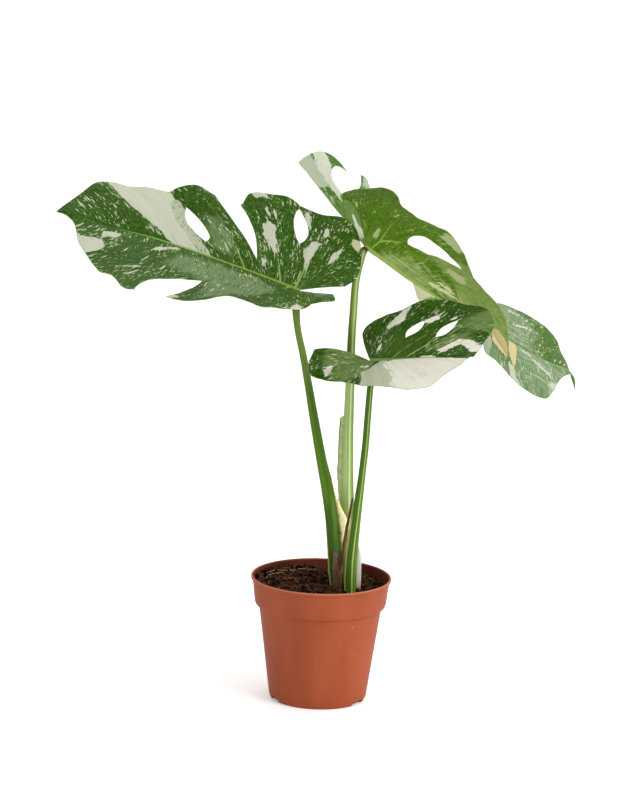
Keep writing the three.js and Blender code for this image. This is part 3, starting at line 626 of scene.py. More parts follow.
PALE_ROOTS = [  # places in plan, in mm, of the few pale roots that lie on the bed at the back left
    [(-51, 10), (-46, 16), (-40, 19), (-33, 21), (-27, 22), (-22, 26)],
    [(-47, 4), (-44, 9), (-38, 10), (-33, 14)],
    [(-20, 33), (-14, 36), (-9, 35), (-4, 38)],
]
ROOT_LIFT = 1.3
ROOT_RADIUS = (0.3, 0.14)
ROOT_SIDES = 8
ROOT_STEPS = 8
root_look = Look("pale_root", roughness=0.7, specular=0.3)
root_tint = root_look.noise(root_look.place(), 150.0)
root_look.color(root_look.mix(root_tint, srgb(150, 108, 76), srgb(214, 176, 138)))
root_points = []
root_faces = []
for plan in PALE_ROOTS:
    knots = [(x, y, soil_height(x, y) + ROOT_LIFT) for x, y in plan]
    path = smooth_through(knots, np.linspace(0, len(plan) - 1, ROOT_STEPS * len(plan)))
    points, faces = tube(path, np.linspace(*ROOT_RADIUS, len(path)), ROOT_SIDES)
    root_faces += [tuple(i + len(root_points) for i in face) for face in faces]
    root_points += points
roots = mesh_object("soil_pale_roots", root_points, root_faces, [root_look])
finished(roots, slot="soil")


# LEAF BLADES
# Three leathery leaves. Each is a thin sheet of two halves on one midrib, cut by slits and holes between its
# side veins. A half is spun over its side veins, as in the solids, and the sheet is half a millimetre thick,
# puckered between the veins, with a groove along the midrib above and a rounded rib below.
#
# Each blade has its joint with the stalk in mm, its heading and rise in degrees, the side of its midrib that
# lies farther off, its length, how soon its rib fades, and the midrib's heights along its length. A half's
# lift is how high its veins arch, in mm, and its sweep how far back they bend, as a part of their reach.
# Each vein has its foot as a part of the midrib, its tip along, across and above, and in one place its own
# arch. Each gap stands beside a vein number, starts and stops at parts of the veins, and opens by so many
# veins. belly widens it in the middle, lean bends it towards later veins, and skew shifts it to one side.
OPEN = 2                      # a gap that stops here is a slit that runs out through the margin
LEAVES = {
    "left": {
        "joint": (-28, -20, 361), "heading": 169.6, "rise": 14, "far_side": -1,
        "length": 217, "rib_fade": 11,
        "midrib": [(0, 0), (0.2, 3), (0.45, 5), (0.62, 5), (0.78, 3), (0.95, 4), (1, 1)],
        "far": {
            "lift": 5, "sweep": 0.1,
            "veins": [
                (0, -36, 14, 12), (0, -43, 22, 21), (0, -40, 34, 37), (0, -29, 48, 53), (0, -15, 54, 60),
                (0, 5, 52, 57), (0.03, 23, 54, 58), (0.06, 37, 59, 61), (0.09, 55, 57, 59),
                (0.12, 70, 55, 55), (0.145, 74, 45, 45), (0.175, 99, 48, 46), (0.22, 115, 50, 49),
                (0.27, 129, 47, 43), (0.31, 136, 44, 37), (0.4, 153, 43, 36), (0.5, 171, 39, 32),
                (0.6, 188, 37, 31), (0.7, 197, 33, 28), (0.79, 204, 23, 19), (0.88, 210, 13, 11),
                (0.95, 215, 5, 4),
            ],
            "gaps": [
                {"beside": 6.25, "start": 0.51, "stop": 0.94, "open": 0.6},
                {"beside": 10.45, "start": 0.21, "stop": OPEN, "open": 0.5, "belly": 0.2},
                {"beside": 14.5, "start": 0.24, "stop": 0.77, "open": 0.5, "lean": -1},
            ],
        },
        "near": {
            "lift": 4, "sweep": 0.34,
            "veins": [
                (0, -27, 24, 0), (0, -32, 4, 0), (0, -20, -20, -1), (0, -13, -50, -3), (0.03, -2, -65, -3),
                (0.09, 14, -76, -4), (0.16, 33, -71, -5), (0.22, 48, -71, -7), (0.27, 62, -80, -13),
                (0.31, 75, -83, -18), (0.36, 90, -80, -20), (0.4, 106, -80, -20.5), (0.45, 123, -83, -22.5),
                (0.5, 132, -77, -24), (0.55, 144, -64, -21), (0.6, 156, -60, -22), (0.7, 171, -44, -18),
                (0.79, 187, -27, -11), (0.88, 198, -6, -3), (0.95, 208, -1, 1),
            ],
            "gaps": [
                {"beside": 10.25, "start": 0.55, "stop": OPEN, "open": 0.78, "belly": 0.75, "skew": 0.95},
            ],
        },
    },
    "back": {
        "joint": (29, 66, 384), "heading": 26.9, "rise": -30.7, "far_side": 1,
        "length": 257, "rib_fade": 0,
        "midrib": [(0, 0), (0.1, -2), (0.2, -4), (0.35, -4.5), (0.5, -5), (0.72, -5), (0.85, -3), (0.94, 0),
                   (0.975, -3), (1, -12)],
        "far": {
            "lift": 3, "sweep": 0.1,
            "veins": [
                (0, -70, 52, 37), (0, -64, 59, 43), (0, -53, 67, 53), (0, -37, 75, 59), (0, -25, 74, 58),
                (0.01, -15, 69, 54), (0.04, 2, 77, 58.5), (0.07, 15, 81, 57), (0.1, 30, 84, 42),
                (0.15, 52, 86, 22), (0.2, 72, 86, 18), (0.26, 88, 80, 12), (0.32, 104, 78, 0),
                (0.38, 118, 74, -10), (0.44, 134, 66, -6), (0.5, 152, 58, 8), (0.56, 165, 40, 21),
                (0.64, 190, 45, 26), (0.72, 218, 44, 27), (0.79, 232, 36, 23), (0.86, 239, 26, 14),
                (0.93, 245, 6, 1),
            ],
            "gaps": [
                {"beside": 2.1, "start": 0.48, "stop": OPEN, "open": 0.55, "belly": 1.2,
                 "lean": 3.4, "skew": 0.1},
                {"beside": 8.5, "start": 0.3, "stop": OPEN, "open": 0.4},
                {"beside": 11.5, "start": 0.3, "stop": OPEN, "open": 0.4},
                {"beside": 14.5, "start": 0.3, "stop": OPEN, "open": 0.45},
            ],
        },
        "near": {
            "lift": 21, "sweep": 0.1,
            "veins": [
                (0, -59, -31, 21), (0, -66, -40, 26), (0, -60, -59, 37), (0, -46, -73, 46),
                (0, -22, -64, 40), (0, -3, -62, 39), (0.02, 14, -66, 41), (0.05, 32, -66, 41),
                (0.08, 54, -59, 34), (0.11, 74, -46, 27), (0.15, 89, -36, 23), (0.19, 103, -38, 18),
                (0.23, 121, -42, 13), (0.28, 135, -44, 3), (0.33, 153, -43, -21), (0.37, 143, -36, -9),
                (0.41, 133, -29, 0), (0.45, 124, -20, 8), (0.5, 141, -20, -24), (0.56, 157, -23, -28),
                (0.64, 180, -29, -35), (0.7, 199, -31, -37), (0.76, 216, -29, -34), (0.81, 224, -21, -25),
                (0.86, 234, -7, -9), (0.93, 245, -2, -2),
            ],
            "gaps": [
                {"beside": 7.35, "start": 0.31, "stop": 0.82, "open": 1.02, "lean": 3.9},
                {"beside": 17.5, "start": 0.2, "stop": OPEN, "open": 0.5},
            ],
        },
    },
    "front": {
        "joint": (35.5, -30, 304.4), "heading": -32.9, "rise": 10.3, "far_side": 1,
        "length": 103, "rib_fade": 4,
        "midrib": [(0, 0), (0.3, 0.6), (0.6, 0.4), (0.8, -0.2), (1, 0)],
        "far": {
            "lift": 4, "sweep": 0.1,
            "veins": [
                (0, -19, 21, 21), (0, -15, 25, 27), (0, -1, 31, 34), (0.03, 15, 36, 38), (0.07, 33, 41, 44),
                (0.13, 57, 42, 43), (0.19, 78, 40, 38), (0.29, 96, 39, 35), (0.4, 103, 36, 28),
                (0.5, 107, 31, 21), (0.6, 105, 26, 14), (0.75, 103, 16, 8), (0.88, 103, 8, 4),
            ],
            "gaps": [
                {"beside": 5.3, "start": 0.36, "stop": 0.62, "open": 0.4},
                {"beside": 7.8, "start": 0.42, "stop": 0.72, "open": 0.42, "lean": -1.7},
            ],
        },
        "near": {
            "lift": 3, "sweep": 0.1,
            "veins": [
                (0, -35, -30, 16, 12), (0, -40, -34, 5), (0, -38, -37, -4), (0, -23, -41, -9),
                (0, -6, -36, -12), (0.03, 16, -41, -15), (0.07, 41, -44, -16), (0.13, 65, -47, -19),
                (0.19, 72, -43, -19), (0.29, 80, -37, -18), (0.4, 87, -23, -11), (0.6, 97, -12, -5),
                (0.75, 99, -4, -1),
            ],
            "gaps": [],
        },
    },
}
FULL_REACH = 60               # a vein this long, in mm, or longer has the half's full arch
SLIT_FLARE = 0.7              # below 1, a slit opens soonest at its inner end
HOLE_ROUNDING = 0.8           # below 1, a hole has blunter ends and is widest nearer the midrib
TABLE_STEPS = 1200            # rows of the tables that turn vein numbers into mm
VEIN_STEPS = 40               # steps in which they measure a vein
MAP_ROW = 0.6                 # the part of the veins' length along which the flat map measures u
COLUMN_STEP = 2.2             # mm between columns at the margin
SAME_PART = 0.002             # midrib places closer than this share a column
RIB_ROWS = (0, 0.5, 1.0, 1.6, 2.6, 4.2)   # mm from the midrib
BLADE_ROWS = 38
WELL_OUTSIDE = -50.0          # the depth, in mm, of a place that no outline holds


def midrib_at(leaf, part):
    """Points of the midrib, along, across and above in mm, at parts of its length."""
    knots = [(at * leaf["length"], 0, high) for at, high in leaf["midrib"]]
    return smooth_through(knots, np.interp(part, [at for at, _ in leaf["midrib"]], range(len(knots))))


def gap_width(gap, t):
    """Half a gap's width in veins, at each t along the veins: 0 where the blade is whole."""
    if gap["stop"] == OPEN:
        along = np.clip((t - gap["start"]) / (1 - gap["start"]), 0, 1)
        return gap["open"] * along ** SLIT_FLARE + gap.get("belly", 0) * np.sin(math.pi * along)
    along = np.clip((t - gap["start"]) / (gap["stop"] - gap["start"]), 0, 1)
    return gap["open"] * np.maximum(np.sin(math.pi * along ** HOLE_ROUNDING), 0) ** HOLE_ROUNDING


def gap_side(gap, t, side):
    """The vein number of a gap's edge at each t: side is -1 for its first edge and 1 for its second."""
    return gap["beside"] + gap.get("lean", 0) * t * t + (side + gap.get("skew", 0)) * gap_width(gap, t)


class Half:
    """The surface of one half: k counts the veins and t runs along them, from the midrib to the margin."""

    def __init__(self, leaf, half):
        self.leaf = leaf
        self.gaps = half["gaps"]
        self.feet = np.array([row[0] for row in half["veins"]] + [1.0])
        self.tips = np.array([row[1:4] for row in half["veins"]] + [midrib_at(leaf, 1.0)], float)
        self.last = len(self.feet) - 1
        self.fan_end = int(np.sum(self.feet == 0)) - 1
        foot_points = midrib_at(leaf, self.feet)
        reach = np.linalg.norm(self.tips - foot_points, axis=1)
        arches = [row[4] if len(row) > 4 else half["lift"] for row in half["veins"]]
        arch = np.array(arches + [half["lift"]])
        self.bends = (foot_points + self.tips) / 2
        self.bends[:, 0] -= half["sweep"] * reach
        self.bends[:, 2] += arch * np.minimum(reach / FULL_REACH, 1)
        # By vein number: how far along the margin's direction the vein lies, and how long it is, in mm.
        self.table_k = np.linspace(0, self.last, TABLE_STEPS)
        line = self.point_at(self.table_k, np.full(TABLE_STEPS, MAP_ROW))
        self.table_u = np.append(0, np.cumsum(np.linalg.norm(np.diff(line, axis=0), axis=1)))
        veins = self.point_at(*np.meshgrid(self.table_k, np.linspace(0, 1, VEIN_STEPS), indexing="ij"))
        self.table_length = np.linalg.norm(np.diff(veins, axis=1), axis=2).sum(axis=1)

    def foot_at(self, k):
        """Where vein k leaves the midrib, as a part of its length."""
        return np.interp(k, range(len(self.feet)), self.feet)

    def column_of(self, part):
        """The vein number that leaves the midrib at this part of its length."""
        for gap in self.gaps:
            if abs(self.foot_at(gap["beside"]) - part) < 1e-9 and part > 0:
                return gap["beside"]
        return self.fan_end if part == 0 else float(np.interp(part, self.feet, range(len(self.feet))))

    def point_at(self, k, t):
        k = np.asarray(k, float)
        t = np.asarray(t, float)[..., None]
        foot = midrib_at(self.leaf, self.foot_at(k))
        bend = smooth_through(self.bends, k)
        return foot * (1 - t) ** 2 + bend * 2 * t * (1 - t) + smooth_through(self.tips, k) * t * t

    def length_at(self, k):
        return np.interp(k, self.table_k, self.table_length)

    def vein_at(self, k, t, side):
        """The vein that column k follows at t. Between two gaps the columns draw together as they open."""
        for gap in self.gaps:
            if gap["beside"] == k:
                return gap_side(gap, t, side)
        before = [gap for gap in self.gaps if gap["beside"] < k][-1:]
        after = [gap for gap in self.gaps if gap["beside"] > k][:1]
        start = before[0]["beside"] if before else 0
        end = after[0]["beside"] if after else self.last
        low = gap_side(before[0], t, 1) if before else 0 * t
        high = gap_side(after[0], t, -1) if after else end + 0 * t
        return low + (k - start) / (end - start) * (high - low)

    def tip_gap(self, a, b):
        """How far apart two columns end, in mm."""
        one = np.array([1.0])
        ends = [self.point_at(self.vein_at(a, one, 1), one), self.point_at(self.vein_at(b, one, -1), one)]
        return float(np.linalg.norm(ends[0] - ends[1]))


def leaf_axes(leaf):
    """The blade's axes in the world: along the midrib, level away from the viewer, and square to both."""
    turn = math.radians(leaf["heading"])
    climb = math.radians(leaf["rise"])
    m = np.array((math.cos(turn) * math.cos(climb), math.sin(turn) * math.cos(climb), math.sin(climb)))
    h = np.array((-math.sin(turn), math.cos(turn), 0)) * leaf["far_side"]
    return np.array((m, h, np.cross(m, h) * leaf["far_side"]))


def columns_of(halves):
    """Where the columns stand: in the fan round the joint for each half, then on shared midrib places."""
    fans = []
    for half in halves:
        knots = set(range(half.fan_end + 1))
        knots |= {gap["beside"] for gap in half.gaps if half.foot_at(gap["beside"]) == 0}
        knots = sorted(knots)
        fan = [float(knots[0])]
        for a, b in zip(knots, knots[1:]):
            steps = max(math.ceil(half.tip_gap(a, b) / COLUMN_STEP), 1)
            fan += [a + (b - a) * (i + 1) / steps for i in range(steps)]
        fans.append(fan)
    gap_parts = [float(half.foot_at(gap["beside"])) for half in halves for gap in half.gaps]
    parts = [0.0] + [part for part in gap_parts if part > 0]
    for part in [1.0] + [float(foot) for half in halves for foot in half.feet]:
        if part > 0 and all(abs(part - other) > SAME_PART for other in parts):
            parts.append(part)
    parts.sort()
    fine = []
    for a, b in zip(parts, parts[1:]):
        spans = [half.tip_gap(half.column_of(a), half.column_of(b)) for half in halves]
        steps = max(math.ceil(max(spans) / COLUMN_STEP), 1)
        fine += [a + (b - a) * (i + 1) / steps for i in range(steps - 1)] + [b]
    return fans, fine


def rows_at(length):
    """The places along a column: close together over the rib, then even."""
    rows = [min(distance / length, j / BLADE_ROWS) for j, distance in enumerate(RIB_ROWS)]
    rest = BLADE_ROWS - len(rows) + 1
    return np.array(rows + [rows[-1] + (1 - rows[-1]) * (j + 1) / rest for j in range(rest)])


def distance_inside(points, outline):
    """How deep in mm each flat point lies inside a closed outline: below 0 outside it."""
    outline = np.asarray(outline, float)
    nearest = np.full(len(points), 1e9)
    inside = np.zeros(len(points), bool)
    for a, b in zip(outline, np.roll(outline, -1, axis=0)):
        along = np.clip(((points - a) @ (b - a)) / ((b - a) @ (b - a)), 0, 1)
        nearest = np.minimum(nearest, np.linalg.norm(points - a - along[:, None] * (b - a), axis=1))
        crosses = (a[1] > points[:, 1]) != (b[1] > points[:, 1])
        with np.errstate(divide="ignore", invalid="ignore"):
            at = a[0] + (points[:, 1] - a[1]) / (b[1] - a[1]) * (b[0] - a[0])
        inside ^= crosses & (points[:, 0] < at)
    return np.where(inside, nearest, -nearest)


def depth_in_line(points, line, start_half, end_half):
    """How deep in mm each flat point lies inside a line whose half width changes along it."""
    line = np.asarray(line, float)
    lengths = np.linalg.norm(np.diff(line, axis=0), axis=1)
    run = np.append(0, np.cumsum(lengths)) / lengths.sum()
    deepest = np.full(len(points), WELL_OUTSIDE)
    for i, (a, b) in enumerate(zip(line, line[1:])):
        along = np.clip(((points - a) @ (b - a)) / ((b - a) @ (b - a)), 0, 1)
        away = np.linalg.norm(points - a - along[:, None] * (b - a), axis=1)
        part = run[i] + (run[i + 1] - run[i]) * along
        deepest = np.maximum(deepest, start_half + (end_half - start_half) * part - away)
    return deepest


# The markings of each half as outlines in its flat map: u in mm along the margin's direction, v in mm from
# the midrib. Cream is bare of green, milky is pale grey-green, haze is green dulled by grey,
# and on the left leaf's lower half and towards the back leaf's tip it is also painted sheen, plain is green
# with few flecks, specked is cream with dark specks, streaked is striped with pale green, and tan is cream
# that has started to dry. A vein is a pale line, with its half widths at its start and end.
MARKING_KINDS = ("cream", "milky", "haze", "plain", "specked", "streaked", "tan")
MARKINGS = {
    ("left", "far"): {
        "cream": [
            [(191, 0), (192, 20), (193, 36), (188, 54), (178, 72), (172, 80), (174, 92), (229, 92),
             (229, 74), (233, 55), (231, 38), (225, 25), (218, 12), (215, 0)],
            [(54, 47), (60, 49), (66, 42), (69, 36), (65, 25), (62, 18), (60, 28)],
            [(97, 56), (103, 59), (109, 53), (110, 44), (104, 30), (98, 25), (98, 42)],
            [(66, 60), (70, 60), (70, 75), (66, 75)],
            [(110, 16), (117, 20), (119, 10), (116, 12)],
            [(32, 38), (35, 54), (38, 50), (40, 38), (35, 33)],
            [(99, 64), (102, 66), (103, 74), (100, 74)],
            [(97, 84), (107, 85), (107, 92), (97, 92)],
            [(52, 52), (55, 56), (54, 66), (52, 62)],
        ],
        "specked": [
            [(181, 0), (182, 14), (184, 24), (182, 44), (174, 62), (170, 78), (178, 74), (190, 56),
             (196, 38), (195, 20), (193, 0)],
        ],
        "haze": [[(152, 20), (152, 56), (162, 58), (172, 30), (172, 16), (160, 12)]],
        "tan": [[(24, 62), (33, 62), (35, 68), (28, 74)]],
        "veins": [
            ([(64, 0), (63, 10), (61, 26)], 2.0, 0.6), ([(88, 0), (94, 12), (98, 30)], 1.8, 0.6),
            ([(149, 0), (151, 20), (152, 42)], 1.3, 0.3), ([(36, 4), (37, 30)], 0.6, 0.2),
            ([(122, 0), (121, 14)], 0.9, 0.3),
        ],
    },
    ("left", "near"): {
        "cream": [
            [(241, 51), (255, 45), (275, 28), (285, 12), (270, 22), (262, 27), (250, 24), (243, 32),
             (238, 40)],
            [(180, 6), (192, 12), (205, 22), (210, 24), (206, 15), (195, 9), (185, 5)],
            [(239, 10), (246, 8), (255, 11), (256, 18), (243, 18)],
            [(141, 86), (147, 82), (156, 93), (145, 97)],
            [(196, 53), (206, 60), (211, 62), (203, 54)],
            [(47, 53), (55, 50), (61, 57), (55, 65), (46, 62)],
        ],
        # grey-green skin that is also painted sheen
        "haze": [
            [(84, 30), (92, 60), (108, 72), (134, 80), (142, 48), (172, 46), (188, 34), (182, 16),
             (140, 12), (100, 14)],
        ],
        "veins": [([(60, 0), (72, 16)], 2.0, 0.5), ([(120, 0), (128, 30)], 0.8, 0.2)],
    },
    ("back", "near"): {
        "cream": [
            [(170, 9), (180, 8), (192, 12), (199, 20), (201, 30), (194, 22), (184, 15), (174, 13)],
            [(174, 16), (186, 19), (195, 25), (188, 24), (176, 20)],
            [(279, 35), (286, 37), (293, 50), (284, 52)],
            [(312, 19), (322, 23), (333, 24), (333, 27), (321, 27), (312, 22)],
            [(302, 11), (315, 15), (314, 18), (302, 15)],
            [(327, 33), (341, 25), (342, 28), (328, 36)],
        ],
        "milky": [
            [(54, 12), (60, 10), (67, 12), (62, 20), (55, 20)],
            [(148, 40), (156, 52), (168, 46), (172, 40), (162, 36), (152, 37)],
            [(88, 78), (94, 66), (98, 60), (104, 66), (112, 72), (104, 82), (90, 84)],
            [(5, 40), (9, 44), (12, 52), (8, 50)],
            [(250, 8), (262, 4), (262, 22), (256, 34), (246, 34)],
        ],
        # the first outline is painted sheen and a painted highlight towards the tip; the others are greyed
        # skin
        "haze": [
            [(246, 30), (262, 24), (286, 34), (286, 0), (390, 0), (390, 60), (250, 60)],
            [(120, 30), (170, 34), (216, 20), (216, 90), (130, 90)],
            [(86, -8), (100, 6), (124, 13), (146, 16), (176, 16), (200, -8)],
        ],
        "streaked": [
            [(74, 0), (90, 7), (120, 14), (150, 24), (172, 30), (196, 36), (206, 22), (216, 0)],
            [(292, 6), (300, 44), (330, 46), (370, 6)],
        ],
        "tan": [
            [(196, 84), (195, 74), (199, 66), (213, 55), (215, 62), (207, 86)],
            [(261, 22), (267, 10), (272, 0), (283, 0), (281, 15), (279, 32), (270, 28)],
            [(287, 0), (300, 0), (296, 14), (290, 30), (286, 38), (282, 30), (284, 14)],
        ],
        "veins": [
            ([(75, 0), (76, 11), (92, 21)], 1.6, 0.8), ([(76, 10), (70, 22), (65, 34)], 1.4, 0.4),
            ([(100, 9), (108, 13)], 1.0, 0.5), ([(48, 50), (56, 62)], 0.8, 0.3),
        ],
    },
    ("back", "far"): {
        "cream": [
            [(13, 60), (19, 42), (24, 55), (27, 80), (26, 105), (14, 105), (12, 80)],
            [(12, 6), (48, 10), (50, 18), (40, 22), (34, 33), (28, 30), (24, 20), (12, 18)],
            [(156, 84), (160, 60), (158, 20), (164, 4), (171, 10), (175, 84)],
            [(246, 0), (262, 0), (256, 8), (246, 6)],
            [(263, 26), (268, 29), (279, 36), (276, 39), (264, 31)],
            [(250, 47), (262, 50), (262, 53), (250, 51)],
        ],
        "plain": [[(-10, -8), (-10, 46), (10, 42), (30, 52), (60, 46), (70, -8)]],
        "milky": [
            [(-6, 64), (7, 61), (12, 62), (14, 80), (13, 105), (-6, 105)],
            [(60, 80), (80, 96), (62, 106)],
        ],
        # painted sheen towards the leaf's tip
        "haze": [[(233, 0), (233, 62), (262, 56), (284, 42), (292, 26), (292, 10), (306, 0)]],
        "streaked": [[(240, 4), (240, 44), (276, 40), (290, 4)]],
    },
    ("front", "far"): {
        "cream": [
            [(24, 33), (27, 46), (28, 54), (34, 58), (37, 48), (40, 43), (37, 37), (29, 31)],
            [(61, 46), (67, 48), (68, 57), (65, 63), (62, 56)],
            [(26, 9), (33, 10), (32, 15), (26, 15)],
            [(106, 36), (112, 37), (124, 25), (133, 12), (127, 11), (118, 22), (112, 27), (112, 10),
             (107, 12)],
            [(102, 0), (114, 0), (110, 4), (104, 4)],
            [(78, 56), (81, 62), (80, 68), (78, 62)],
        ],
        "plain": [[(36, -8), (40, 30), (70, 30), (84, 40), (90, -8)]],
        "haze": [
            [(98, 14), (98, 40), (104, 48), (110, 36), (106, 18)],
            [(86, 92), (89, 60), (94, 50), (104, 54), (114, 66), (108, 92)],
        ],
        "veins": [
            ([(72, 0), (76, 18), (80, 36)], 1.5, 0.6), ([(90, 4), (93, 22), (90, 34)], 1.3, 0.5),
            ([(45, 8), (51, 30)], 0.8, 0.3), ([(96, 40), (93, 56)], 0.8, 0.4),
            ([(101, 10), (102, 40)], 0.7, 0.3),
        ],
    },
    ("front", "near"): {
        "cream": [
            [(84, 6), (80, 20), (85, 30), (80, 42), (84, 46), (74, 56), (80, 84), (110, 84), (140, 60),
             (143, 24), (134, 0), (100, 0)],
            [(14, 33), (19, 41), (25, 42), (24, 36), (17, 30)],
            [(38, 12), (48, 16), (54, 14), (50, 11)],
        ],
        "milky": [
            [(50, 54), (51, 32), (48, 24), (58, 18), (66, 10), (74, 4), (88, 0), (88, 50), (84, 84),
             (60, 70)],
        ],
        "haze": [[(-8, -8), (-8, 36), (30, 40), (52, 30), (60, 8), (70, -8)]],
    },
}

BLADE_THICK = 0.45
QUILT = 0.4                   # how far the skin between two veins stands up, in mm
QUILT_SPACING = 9             # the veins' spacing, in mm, from which it stands up in full
QUILT_END = 0.93              # the part of the veins' length where it has flattened
QUILT_STEEPNESS = (0.8, 0.6)  # across and along the veins: less than 1 makes its flanks steeper
GROOVE_DEPTH = 0.55
GROOVE_HALF = 0.9
RIB_DEEP = 1.5
RIB_HALF = 1.5
RIB_TAPER = 0.8               # the part of its depth that the rib has lost at the tip
RIB_FADES_FROM = 0.6          # the part of the midrib from which the rib's pale line narrows
WAVE = 0.9                    # how far the margin waves up and down, in mm
WAVE_REACH = 9                # how far in from the margin it fades, in mm
WAVE_SIZES = ((14, 1), (5, 0.4))   # each wave's size in mm, and how much of it there is
VEIN_STEP = 0.02              # veins to both sides, over which their spacing is measured
BLADE_CREASE = 68             # edges sharper than this, in degrees, stay crisp
blade_normals = {}            # each blade's normal at its joint, which the top of its stalk follows


def blade_grid(leaf, halves):
    """The sheet as corners and faces. A corner has its place on one half, and the vertex that it shares."""
    fans, parts = columns_of(halves)
    corners = {"point": [], "vertex": [], "k": [], "t": [], "half": []}
    midrib_vertices = {0.0: 0}
    vertex_count = 1
    faces = []
    for side, half in enumerate(halves):
        columns = [(k, 0.0) for k in fans[side]] + [(half.column_of(part), part) for part in parts]
        gap_columns = {gap["beside"]: gap for gap in half.gaps}
        strips = []
        for k, part in columns:
            t = rows_at(max(float(half.length_at(k)), 1e-3))
            if part not in midrib_vertices:
                midrib_vertices[part] = vertex_count
                vertex_count += 1
            first = midrib_vertices[part]
            both = []
            for edge in (-1, 1):
                veins = half.vein_at(k, t, edge)
                if edge == 1 and k not in gap_columns:
                    vertices = both[0][1]
                elif edge == 1:
                    opened = gap_width(gap_columns[k], t) > 1e-6
                    opened[0] = False
                    vertices = both[0][1].copy()
                    vertices[opened] = np.arange(vertex_count, vertex_count + int(opened.sum()))
                    vertex_count += int(opened.sum())
                elif part == 1.0:
                    vertices = np.full(len(t), first)
                else:
                    vertices = np.append(first, np.arange(vertex_count, vertex_count + len(t) - 1))
                    vertex_count += len(t) - 1
                start = len(corners["point"])
                corners["point"] += list(half.point_at(veins, t))
                corners["vertex"] += list(vertices)
                corners["k"] += list(veins)
                corners["t"] += list(t)
                corners["half"] += [side] * len(t)
                both.append((np.arange(start, start + len(t)), vertices))
            strips.append(both)
        turned = (1 if side == 0 else -1) * leaf["far_side"] < 0   # its faces would look down
        for left, right in zip(strips, strips[1:]):
            a = left[1][0]
            b = right[0][0]
            for j in range(BLADE_ROWS):
                quad = [a[j], b[j], b[j + 1], a[j + 1]]
                faces.append(quad[::-1] if turned else quad)
    corners = {key: np.array(values) for key, values in corners.items()}
    # Faces that two rows on one vertex have flattened lose a corner, or go.
    vertex_of = corners["vertex"]
    whole = []
    for face in faces:
        kept = [s for i, s in enumerate(face) if vertex_of[s] != vertex_of[face[i - 1]]]
        if len(kept) > 2:
            whole.append(kept)
    return corners, whole, vertex_count


def measured(halves, corners):
    """For each corner: u, v and the veins' spacing in mm, and its vein's foot as a part of the midrib."""
    k = corners["k"]
    t = corners["t"]
    u, v, spacing, foot = np.zeros((4, len(k)))
    for side, half in enumerate(halves):
        mine = corners["half"] == side
        u[mine] = np.interp(k[mine], half.table_k, half.table_u)
        v[mine] = t[mine] * half.length_at(k[mine])
        later = half.point_at(np.minimum(k[mine] + VEIN_STEP, half.last), t[mine])
        earlier = half.point_at(np.maximum(k[mine] - VEIN_STEP, 0), t[mine])
        spacing[mine] = np.linalg.norm(later - earlier, axis=1) / (2 * VEIN_STEP)
        foot[mine] = half.foot_at(k[mine])
    return u, v, spacing, foot


def normals_and_rim(points, faces, vertex_of):
    """Each vertex's normal, and the sheet's open edges as pairs of corners."""
    normals = np.zeros((len(points), 3))
    edges = {}
    for face in faces:
        ring = vertex_of[face]
        cross = np.cross(points[ring[1]] - points[ring[0]], points[ring[2]] - points[ring[0]])
        if len(ring) == 4:
            cross = cross + np.cross(points[ring[2]] - points[ring[0]], points[ring[3]] - points[ring[0]])
        normals[ring] += cross
        for i, b in enumerate(face):
            a = face[i - 1]
            edges[(vertex_of[a], vertex_of[b])] = (a, b)
    normals /= np.maximum(np.linalg.norm(normals, axis=1), 1e-9)[:, None]
    rim = [pair for key, pair in edges.items() if (key[1], key[0]) not in edges]
    return normals, rim


